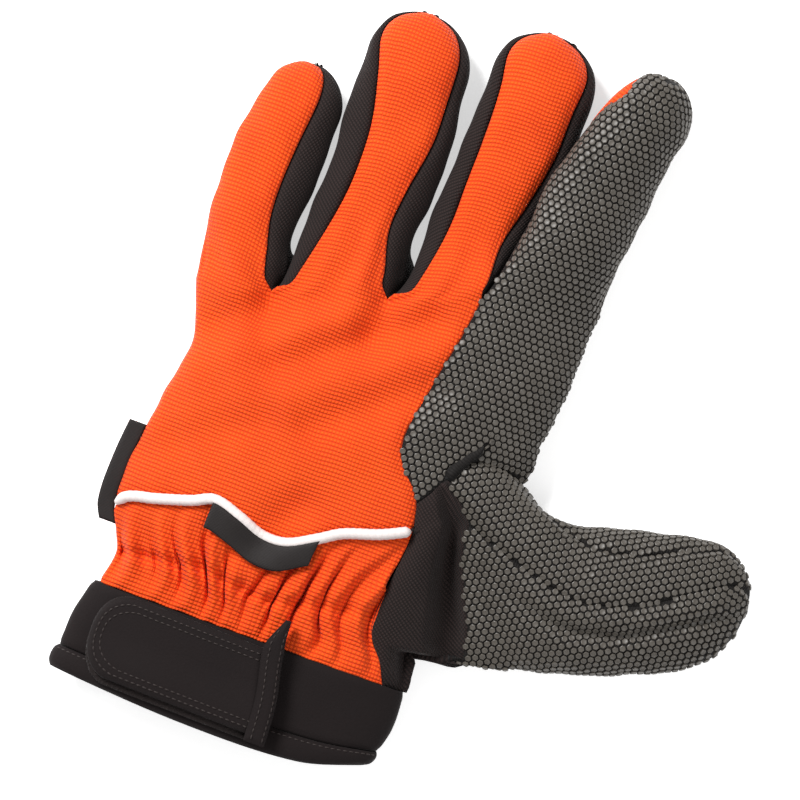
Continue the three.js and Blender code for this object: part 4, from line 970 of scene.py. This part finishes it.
@dataclass
class Cuff:
    """The neoprene cuff with its hem, its closure tab on loop pile and the folded binding."""

    width: float = 103
    depth: float = 33
    height: float = 20
    wall: float = 2.6
    hem_depth: float = 9
    swell: float = 1
    square: float = 2.8
    tab_length: float = 53
    tab_width: float = 27
    tab_thickness: float = 2.4
    clearance: float = 0.4
    binding_width: float = 7
    tab_tuck: float = 2.2
    patch_margin: float = 2.2
    patch_thickness: float = 1
    binding_thickness: float = 3
    stitch_pitch: float = 2
    left: Curve = field(default_factory=lambda: Curve(((0, 0.062), (0.3, 0.039), (0.7, 0.028), (1, 0.02)), 1,
                                                      1, 103))
    right: Curve = field(default_factory=lambda: Curve(((0, 1.083), (0.3, 1.087), (0.7, 1.07), (1, 1.045)),
                                                       1, 1, 103))
    hem_line: Curve = field(default_factory=lambda: Curve(((0, 0.92), (0.45, 1), (0.8, 0.97), (1, 0.8))))
    binding_line: Curve = field(default_factory=lambda: Curve(((-0.93, 0.7), (-0.5, 0.69), (0, 0.66),
                                                               (0.29, 0.673))))

    @property
    def hem_start(self) -> float:
        """Gives the share of the depth where the hem starts."""
        return 1 - self.hem_depth / self.depth

    def at(self, turned: Points, s: Points, swell: Points | float = 0) -> Points:
        """Gives points of the cuff's outer face."""
        flat, upper = np.cos(turned), np.sin(turned) > 0
        depth = self.depth * s * (1 - s + self.hem_line((flat + 1) / 2) * s)
        half = (self.right(s) - self.left(s)) / 2
        rise = self.height / 2 + np.where(upper, swell, 0)
        level_at = np.where(upper, roundness(flat, self.square), -pressed(flat, self.square))
        x = (self.right(s) + self.left(s)) / 2 + (half + swell) * flat
        return point(x, -depth, self.height / 2 + rise * level_at)

    def ring(self, s: Points, swell: Points) -> Points:
        """Gives closed rings of points down the cuff."""
        turned = np.linspace(0, 2 * math.pi, 241)
        turned = (turned - 0.35 * np.sin(2 * turned))[None]
        return self.at(turned, s[:, None], swell[:, None])

    def top(self, x: Points, y: Points) -> Points:
        """Gives the height of the cuff's upper face at a plan point."""
        s = np.clip(-y / self.depth, 0, 1)
        middle, half = (self.right(s) + self.left(s)) / 2, (self.right(s) - self.left(s)) / 2
        swell = self.swell * smooth((s - self.hem_start / 2) / (self.hem_start / 2))
        return self.height / 2 + (self.height / 2
                                  + swell) * roundness(np.clip((x - middle) / half, -0.98, 0.98), self.square)

    def top_of_wrist(self, x: Points, y: Points) -> Points:
        """Gives the height of the cuff or of the gathered cloth above it, whichever is higher."""
        gathered = Pattern.body_x(x, np.maximum(y, 0))[..., 2] + Pattern.GATHER_DEPTH
        return np.maximum(self.top(x, y), gathered)

    def sleeve(self, name: str, s: Points, swell: Points) -> bpy.types.Object:
        """Makes a stretch of the cuff as a thick sleeve with rounded rims."""
        rings = self.ring(s, swell)
        cloth = Cloth.cut(rings, level(rings, self.height / 2), 120)
        piece = Maker.join(name, [Maker.grid("sleeve", cloth)])
        Maker.sew(piece, 0.5, 1.2, 0.25)
        Maker.wall(piece, self.wall)
        return piece

    def slab(self, name: str, plan: Points, height: Callable, thickness: float,
             edge: float) -> bpy.types.Object:
        """Makes a thick strip that lies on what is below it, with rounded edges."""
        points = point(plan[..., 0], plan[..., 1], height(plan[..., 0], plan[..., 1]) + thickness)
        cloth = Cloth.cut(points, level(points, 0), points.shape[1] // 2)
        piece = Maker.join(name, [Maker.grid("strip", cloth)])
        Maker.sew(piece, edge, 1.1, 0.12)
        Maker.wall(piece, thickness - 0.1)
        return piece

    def tab_plan(self, margin: float, inset: float = 0) -> Points:
        """Gives the tab's plan: its left end is round and its right end runs under the binding."""
        half = self.tab_width / 2
        right = self.width * self.binding_line(0.0) - self.binding_width / 2 + self.tab_tuck
        across = np.linspace(1, -1, 56)[:, None]
        reach = half - inset
        start = right - 2.6 - self.tab_length + inset + (1 - roundness(across * 0.97, 2.4)) * half
        lean = self.binding_line((reach * across - half) / self.depth) - self.binding_line(0.0)
        x = start + (right + self.width * lean - start) * np.linspace(0, 1, 90)[None]
        middle = -0.01 * self.depth - half - 0.02 * (x - right + self.tab_length)
        return np.stack([x, middle + reach * across - margin * np.maximum(0, -across)], -1)

    def tab_line(self, inset: float) -> Points:
        """Gives the line of a row of stitches round the tab."""
        plan = self.tab_plan(0, inset)
        line = np.vstack([plan[0, ::-1], plan[1:-1, 0], plan[-1]])
        return point(line[:, 0], line[:, 1], self.top(line[:, 0], line[:, 1]) + 5)

    def binding_plan(self, wide: float) -> Points:
        """Gives the folded binding's plan, pointed at its upper end."""
        s = np.linspace(0, 1, 91)[:, None]
        at = 0.29 - 1.22 * s
        side = np.linspace(-0.5, 0.5, 15)[None] * wide * np.minimum(1, 0.25 + 3 * s)
        return np.stack([self.width * self.binding_line(at) + side,
                         np.broadcast_to(self.depth * at, side.shape)], -1)

    def pieces(self) -> dict[str, bpy.types.Object]:
        """Makes the cuff's pieces and its rows of stitches."""
        low = np.linspace(0, self.hem_start, 34)
        hem = np.linspace(self.hem_start, 1, 22)
        bulge = self.swell * np.sin(np.pi * np.linspace(0, 1, 22)) ** 0.7
        made = {"cuff": self.sleeve("cuff", low, 0 * low), "cuff_hem": self.sleeve("cuff_hem", hem, bulge)}
        lift = self.patch_thickness + 2 * self.clearance
        made["loop_patch"] = self.slab("loop_patch", self.tab_plan(self.patch_margin),
                                       lambda x, y: self.top(x, y) + self.clearance, self.patch_thickness,
                                       0.2)
        made["closure_tab"] = self.slab("closure_tab", self.tab_plan(0),
                                        lambda x, y: self.top(x, y) + lift, self.tab_thickness, 0.9)
        under = self.top_of_wrist
        made["cuff_binding"] = self.slab("cuff_binding", self.binding_plan(self.binding_width),
                                         lambda x, y: under(x, y) + self.tab_thickness - 0.2,
                                         self.binding_thickness, 0.8)
        rows = [self.tab_line(inset) for inset in (2, 4)]
        made["tab_stitches"] = Maker.stitches("tab_stitches", rows, made["closure_tab"], self.stitch_pitch)
        turned = np.linspace(0.06, 0.94, 120) * math.pi
        hem_row = self.at(turned, np.full(120, self.hem_start + 0.035), self.swell)
        made["hem_stitches"] = Maker.stitches("hem_stitches", [hem_row], made["cuff_hem"], self.stitch_pitch)
        sides = ((0.35, 0), (0.55, -1))
        lines = [self.binding_plan(self.binding_width * share)[8:-3, column] for share, column in sides]
        lines = [point(line[:, 0], line[:, 1], under(line[:, 0], line[:, 1]) + 4) for line in lines]
        made["binding_stitches"] = Maker.stitches("binding_stitches", lines, made["cuff_binding"],
                                                  self.stitch_pitch)
        return made


@dataclass
class Trims:
    """The white piping and the two bare labels."""

    radius: float = 1.75
    rings: int = 160
    sink: float = 0.6
    label_width: float = 8.5
    side_label_width: float = 5.8
    side_label_length: float = 33
    tape: float = 0.8

    def piping(self) -> bpy.types.Object:
        """Makes the corded piping along the seam above the gathers."""
        share = np.linspace(0.004, 0.997, self.rings)
        line = Pattern.back(share, Pattern.PIPING(share))
        line[:, 2] += self.radius * self.sink
        tangent = np.gradient(line, axis=0)
        side = np.cross(tangent, (0, 0, 1))
        side /= np.linalg.norm(side, axis=1, keepdims=True)
        up = np.cross(side, tangent)
        up /= np.linalg.norm(up, axis=1, keepdims=True)
        turned = np.linspace(0, 2 * math.pi, 17)[None, :, None]
        step = np.arange(self.rings)
        closing = np.minimum(1, np.minimum(step, step[::-1]) / 3)[:, None, None] ** 0.5
        lumps = 1 + 0.03 * np.sin(step * 1.9)[:, None, None]
        circle = np.cos(turned) * side[:, None] + np.sin(turned) * up[:, None]
        rings = line[:, None] + self.radius * closing * lumps * circle
        cloth = Cloth.cut(rings, line, 8, 0)
        piece = Maker.join("piping", [Maker.grid("cord", cloth)])
        only(piece)
        bpy.ops.object.shade_smooth()
        return piece

    def label(self, name: str, points: Points, under: Points) -> bpy.types.Object:
        """Makes one bare label of woven tape."""
        cloth = Cloth.cut(points, under, points.shape[1] // 2)
        piece = Maker.join(name, [Maker.grid("tape", cloth)])
        Maker.sew(piece, 0.15, 0.6, 0.15)
        Maker.wall(piece, self.tape)
        return piece

    def labels(self) -> dict[str, bpy.types.Object]:
        """Makes the wrist label under the piping and the side label in the left seam."""
        share = np.linspace(0.33, 0.72, 70)[None]
        down = np.linspace(0, 1, 14)[:, None]
        y = Pattern.PIPING(share) - 1 - self.label_width * down
        x = Pattern.LEFT(y) * (1 - share) + Pattern.BACK(y) * share
        wrist = point(x, y, Pattern.body_x(x, y)[..., 2] + Pattern.GATHER_DEPTH + 1.2)
        v = Pattern.PALM_LENGTH * 0.18 + np.linspace(0, self.side_label_length, 40)[:, None]
        out = self.side_label_width * (1 - np.linspace(0, 1, 9)[None])
        side = point(Pattern.LEFT(v) + 0.3 - out, v, Pattern.SIDE_HEIGHT + 0.5)
        return {"wrist_label": self.label("wrist_label", wrist, level(wrist, 0)),
                "side_label": self.label("side_label", side, level(side, 0))}


@dataclass
class GuardPlates:
    """Small hexagonal resin plates on the guard fabric, laid in its cloth coordinates."""

    pitch: float = 2.35
    radius: float = 1.05
    rise: float = 0.42
    margin: float = 0.15
    thickness: float = 0.6
    unevenness: float = 0.05

    def model(self) -> bpy.types.Object:
        """Models one plate: a hexagon with a bevelled edge and a slightly dished top."""
        bpy.ops.object.select_all(action="DESELECT")
        bpy.ops.mesh.primitive_cylinder_add(vertices=6, radius=self.radius * MM, depth=self.thickness * MM,
                                            end_fill_type="NGON")
        plate = bpy.context.object
        bpy.ops.object.mode_set(mode="EDIT")
        bpy.ops.mesh.select_mode(type="FACE")
        bpy.ops.mesh.select_all(action="DESELECT")
        bpy.ops.object.mode_set(mode="OBJECT")
        for face in plate.data.polygons:
            face.select = face.normal.z > 0.9
        bpy.ops.object.mode_set(mode="EDIT")
        bpy.ops.mesh.inset(thickness=0.2 * MM, depth=0.14 * MM)
        bpy.ops.mesh.inset(thickness=0.34 * MM, depth=-0.07 * MM)
        bpy.ops.object.mode_set(mode="OBJECT")
        return plate

    def cover(self, name: str, fabric: bpy.types.Object) -> bpy.types.Object:
        """Lays plates in a hexagonal net over a sheet, by its cloth coordinates.

        Args:
            name: The new piece's name.
            fabric: The open sheet, before it gets its thickness.

        Returns:
            The plates as one piece.
        """
        mesh = fabric.data
        mesh.calc_loop_triangles()
        loops = np.array([t.loops[:] for t in mesh.loop_triangles])
        corners = np.array([t.vertices[:] for t in mesh.loop_triangles])
        uv = np.zeros(len(mesh.loops) * 2)
        mesh.uv_layers[0].data.foreach_get("uv", uv)
        flat = (uv.reshape(-1, 2) / MM)[loops]
        points, up = coordinates(mesh)[corners], normals(mesh)[corners]
        away = np.zeros(len(mesh.vertices))
        mesh.attributes["seam"].data.foreach_get("value", away)
        away = away[corners]
        soup = np.concatenate([flat, np.zeros((*flat.shape[:2], 1))], 2).reshape(-1, 3)
        tree = BVHTree.FromPolygons(soup.tolist(), np.arange(len(soup)).reshape(-1, 3).tolist())
        low, high = flat.reshape(-1, 2).min(0), flat.reshape(-1, 2).max(0)
        row_step = self.pitch * math.sqrt(3) / 2
        centres, tangents, ups = [], [], []
        for i, v in enumerate(np.arange(low[1], high[1], row_step)):
            for u in np.arange(low[0] + (i % 2) * self.pitch / 2, high[0], self.pitch):
                hit = tree.ray_cast(Vector((u, v, 1)), Vector((0, 0, -1)))
                if hit[2] is None:
                    continue
                a, b, c = flat[hit[2]]
                basis = np.array([b - a, c - a]).T
                if abs(np.linalg.det(basis)) < 1e-9:
                    continue
                s, t = np.linalg.solve(basis, np.array((u, v)) - a)
                weight = np.array((1 - s - t, s, t))
                if weight @ away[hit[2]] < self.margin:
                    continue
                along = np.linalg.solve(basis, (1.0, 0.0)) @ (points[hit[2]][1:] - points[hit[2]][0])
                normal = weight @ up[hit[2]]
                centres.append(weight @ points[hit[2]] + normal * (self.rise - self.thickness / 2) * MM)
                tangents.append(np.array(along))
                ups.append(normal)
        rng = np.random.default_rng(7)
        ups = np.array(ups) + rng.normal(0, self.unevenness, (len(ups), 3))
        return Maker.copies(name, self.model(), np.array(centres), np.array(tangents), ups)


def linear(colour: str) -> tuple[float, float, float, float]:
    """Turns an sRGB hex colour to linear values."""
    parts = [int(colour[k:k + 2], 16) / 255 for k in (1, 3, 5)]
    return (*(p / 12.92 if p <= 0.04045 else ((p + 0.055) / 1.055) ** 2.4 for p in parts), 1.0)


def add(tree: bpy.types.NodeTree, kind: str, values: dict[object, object] | None = None,
        **settings: object) -> bpy.types.Node:
    """Adds a node.

    Args:
        tree: The node tree.
        kind: The node's type.
        values: For each input, a socket that feeds it or a plain value.
        settings: The node's own settings.

    Returns:
        The node.
    """
    node = tree.nodes.new(kind)
    for name, value in settings.items():
        setattr(node, name, value)
    for name, value in (values or {}).items():
        if isinstance(value, bpy.types.NodeSocket):
            tree.links.new(value, node.inputs[name])
        else:
            node.inputs[name].default_value = value
    return node


class Texture(Enum):
    """The surfaces that the glove's materials have."""

    CORDS = "cords woven across the cloth, with a cell at each warp"
    FUZZ = "a fine even nap"
    PLATE = "smooth resin"


@dataclass(frozen=True)
class Finish:
    """A material: its colours, its gloss and the pattern on it, with sizes in millimetres."""

    name: str
    slot: Slot
    light: str
    dark: str
    roughness: float
    texture: Texture
    rib: float = 1.3
    cell: float = 1.1
    relief: float = 0.4
    sheen: float = 0.0
    specular: float = 0.3
    slant: float = 0.0

    def material(self) -> bpy.types.Material:
        """Builds the material."""
        made = bpy.data.materials.new(self.name)
        made.use_nodes = True
        tree = made.node_tree
        shader = tree.nodes["Principled BSDF"]
        place = add(tree, "ShaderNodeTexCoord")
        if self.texture is Texture.CORDS:
            height = self.cords(tree, place.outputs["UV"])
        else:
            fine = add(tree, "ShaderNodeTexNoise",
                       {"Vector": place.outputs["Object"], "Scale": 1 / (self.cell * MM), "Detail": 3.0})
            height = fine.outputs[0]
        patches = add(tree, "ShaderNodeTexNoise",
                      {"Vector": place.outputs["Object"], "Scale": 60.0, "Detail": 4.0})
        share = add(tree, "ShaderNodeMath", {0: patches.outputs[0], 1: 0.5, 2: -0.25},
                    operation="MULTIPLY_ADD")
        mixed = add(tree, "ShaderNodeMath", {0: height, 1: share.outputs[0]}, operation="ADD", use_clamp=True)
        # The colour follows the height plus the noise patches: on corded cloth the grooves get the dark
        # colour, which is painted shade; the fine noise of the other finishes and the patches are random
        # tone.
        colour = add(tree, "ShaderNodeMix",
                     {0: mixed.outputs[0], 6: linear(self.dark), 7: linear(self.light)}, data_type="RGBA")
        bump = add(tree, "ShaderNodeBump", {"Height": height, "Distance": self.relief * MM, "Strength": 1.0})
        tree.links.new(colour.outputs[2], shader.inputs["Base Color"])
        tree.links.new(bump.outputs[0], shader.inputs["Normal"])
        shader.inputs["Roughness"].default_value = self.roughness
        shader.inputs["Specular IOR Level"].default_value = self.specular
        shader.inputs["Sheen Weight"].default_value = self.sheen
        shader.inputs["Sheen Roughness"].default_value = 0.4
        return made

    def cords(self, tree: bpy.types.NodeTree, uv: bpy.types.NodeSocket) -> bpy.types.NodeSocket:
        """Draws round cords across the cloth, each divided into cells; the height also sets the colour, so
        the grooves get painted shade.

        Args:
            tree: The node tree.
            uv: The cloth coordinates, in metres.

        Returns:
            The height, from 0 in the grooves to 1.
        """
        turned = add(tree, "ShaderNodeMapping", {"Vector": uv, "Rotation": (0, 0, math.radians(self.slant))})
        drift = add(tree, "ShaderNodeTexNoise", {"Vector": turned.outputs[0], "Scale": 160.0})
        shift = add(tree, "ShaderNodeVectorMath", {0: drift.outputs[1], 1: (0.0005, 0.0005, 0)},
                    operation="MULTIPLY")
        moved = add(tree, "ShaderNodeVectorMath", {0: turned.outputs[0], 1: shift.outputs[0]})
        axes = add(tree, "ShaderNodeSeparateXYZ", {0: moved.outputs[0]})
        waves = []
        for axis, pitch in ((1, self.rib), (0, self.cell)):
            turn = add(tree, "ShaderNodeMath", {0: axes.outputs[axis], 1: math.pi / (pitch * MM)},
                       operation="MULTIPLY")
            sine = add(tree, "ShaderNodeMath", {0: turn.outputs[0]}, operation="SINE")
            waves.append(add(tree, "ShaderNodeMath", {0: sine.outputs[0]}, operation="ABSOLUTE").outputs[0])
        cell = add(tree, "ShaderNodeMath", {0: waves[1], 1: 0.55, 2: 0.45}, operation="MULTIPLY_ADD")
        both = add(tree, "ShaderNodeMath", {0: waves[0], 1: cell.outputs[0]}, operation="MULTIPLY")
        return both.outputs[0]


FINISHES = {
    # In the corded finishes (rib, knit, guard, label) the dark colour fills the grooves of the weave: painted
    # shade.
    # Ottoman-weave polyester: round weft cords under a fine warp, which break the light into small beads
    "rib": Finish("orange_ottoman_weave", Slot.RIB, "#F95605", "#C42C00", 0.8, Texture.CORDS, 1.3, 1.15,
                  0.36, 0.05),
    # Black stretch knit: narrow ribs that show only where light grazes them
    "knit": Finish("black_rib_knit", Slot.KNIT, "#2A1E1C", "#0E0807", 0.85, Texture.CORDS, 1.1, 0.9, 0.34,
                   0.03, slant=35),
    # Black base cloth between the plates
    "guard": Finish("black_base_cloth", Slot.GUARD, "#14100E", "#0A0706", 0.8, Texture.CORDS, 0.8, 0.8, 0.15,
                    0.03),
    # Screen-printed grey resin, cured: satin, with a brighter glint where it faces the light
    "plate": Finish("grey_resin_plate", Slot.GUARD, "#59544D", "#423D37", 0.46, Texture.PLATE, cell=3,
                    relief=0.03, specular=0.5),
    # Neoprene faced with jersey: a soft even nap with hardly any gloss
    "neoprene": Finish("jersey_faced_neoprene", Slot.NEOPRENE, "#191212", "#130D0D", 0.85, Texture.FUZZ,
                       cell=0.7, relief=0.12, sheen=0.04, specular=0.2),
    "loop": Finish("nylon_loop_pile", Slot.LOOP, "#2A2221", "#0C0807", 1.0, Texture.FUZZ, cell=0.9,
                   relief=0.9, sheen=0.1),
    "thread": Finish("black_polyester_thread", Slot.NEOPRENE, "#302826", "#251E1C", 0.6, Texture.PLATE,
                     cell=0.5, relief=0.05),
    "piping": Finish("white_corded_piping", Slot.PIPING, "#E6DFDC", "#CBC0BE", 0.6, Texture.FUZZ, cell=0.6,
                     relief=0.06, sheen=0.05),
    "label": Finish("black_woven_tape", Slot.LABEL, "#1E1817", "#120D0C", 0.6, Texture.CORDS, 0.45, 0.45,
                    0.06, 0.03),
}
LOOKS = {
    "back_panel": "rib", "index_back": "rib", "wrist_gather": "rib", "palm_panel": "guard",
    "index_grip": "guard",
    "fourchette_little_ring": "knit", "fourchette_ring_middle": "knit", "fourchette_middle_index": "knit",
    "thumb_gusset": "knit", "thumb_top_strip": "guard", "thumb_front_panel": "guard",
    "thumb_lower_panel": "guard",
    "thumb_palm_panel": "guard", "cuff": "neoprene", "cuff_hem": "neoprene", "closure_tab": "neoprene",
    "cuff_binding": "neoprene", "loop_patch": "loop", "tab_stitches": "thread", "hem_stitches": "thread",
    "binding_stitches": "thread", "piping": "piping", "wrist_label": "label", "side_label": "label",
}


@dataclass
class Studio:
    """The floor, the soft light and the camera straight above the glove."""

    scale: float = 0.318
    image: int = 800
    lens: float = 200
    sensor: float = 36
    tilt: float = 20
    focus: tuple[float, float, float] = (-0.0234, -0.00312, 0.01)
    # The plates under the palm hold the cloth a little above the ground
    floor: float = -0.0008
    sky: float = 0.4
    floor_glow: float = 0.55
    # Each lamp's place, size and power
    lamps: tuple = (("key", (-0.75, 0.45, 0.75), 0.45, 19), ("fill", (0.7, -0.3, 0.8), 0.8, 4))

    def camera(self) -> None:
        """Sets the camera above the middle of the photograph, at its scale."""
        data = bpy.data.cameras.new("camera")
        data.lens, data.sensor_width = self.lens, self.sensor
        data.clip_end = 50
        piece = bpy.data.objects.new("camera", data)
        bpy.context.scene.collection.objects.link(piece)
        away = self.scale * self.image * MM * self.lens / self.sensor
        piece.location = Vector(self.focus) + Vector((0, 0, away))
        piece.rotation_euler = (0, 0, math.radians(self.tilt))
        bpy.context.scene.camera = piece

    def lamp(self, name: str, place: tuple[float, float, float], size: float, power: float) -> None:
        """Hangs one soft lamp that faces the glove."""
        data = bpy.data.lights.new(name, "AREA")
        data.size, data.energy = size, power
        piece = bpy.data.objects.new(name, data)
        bpy.context.scene.collection.objects.link(piece)
        piece.location = place
        piece.rotation_euler = (-Vector(place)).to_track_quat("-Z", "Y").to_euler()

    def light(self) -> None:
        """Lights a pale floor evenly, with a soft key from the upper left."""
        bpy.context.scene.view_settings.view_transform = "Standard"
        world = bpy.data.worlds.new("studio")
        bpy.context.scene.world = world
        world.use_nodes = True
        world.node_tree.nodes["Background"].inputs["Color"].default_value = (1, 1, 1, 1)
        world.node_tree.nodes["Background"].inputs["Strength"].default_value = self.sky
        for lamp in self.lamps:
            self.lamp(*lamp)
        bpy.ops.object.select_all(action="DESELECT")
        bpy.ops.mesh.primitive_plane_add(size=6, location=(0, 0, self.floor))
        floor = bpy.context.object
        floor.name = "floor"
        paint = bpy.data.materials.new("matt_white_paper")
        paint.use_nodes = True
        shader = paint.node_tree.nodes["Principled BSDF"]
        shader.inputs["Base Color"].default_value = (0.95, 0.95, 0.95, 1)
        shader.inputs["Roughness"].default_value = 0.9
        shader.inputs["Emission Color"].default_value = (1, 1, 1, 1)
        shader.inputs["Emission Strength"].default_value = self.floor_glow
        floor.data.materials.append(paint)


def main() -> None:
    """Builds the glove's classes in order and reports each piece."""
    logging.basicConfig(level=logging.INFO, format="%(name)s: %(message)s")
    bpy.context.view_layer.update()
    studio = Studio()
    studio.camera()
    studio.light()
    hand = Hand()
    made = {"back_panel": hand.back_panel(), "index_back": hand.index_back(), "palm_panel": hand.palm_panel(),
            "index_grip": hand.index_grip(), "wrist_gather": hand.wrist_gather(),
            "thumb_gusset": hand.thumb_gusset()}
    for k, name in enumerate(("little_ring", "ring_middle", "middle_index"), 1):
        made[f"fourchette_{name}"] = hand.fourchette(k, f"fourchette_{name}")
    made.update(ThumbStall(hand).panels())
    plates = GuardPlates()
    for name in [name for name, look in LOOKS.items() if look == "guard"]:
        cover = plates.cover(f"{name}_plates", made[name])
        Maker.wall(made[name], hand.wall)
        made[f"{name}_plates"] = cover
    made.update(Cuff().pieces())
    trims = Trims()
    made["piping"] = trims.piping()
    made.update(trims.labels())
    materials = {look: finish.material() for look, finish in FINISHES.items()}
    nodes = set(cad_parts)
    for name, piece in made.items():
        look = LOOKS.get(name, "plate")
        piece.data.materials.clear()
        piece.data.materials.append(materials[look])
        if name in nodes:
            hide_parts(name)
        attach(piece, BODY)
        LOG.info("%s: %d faces", name, len(piece.data.polygons))


if __name__ == "__main__":
    main()
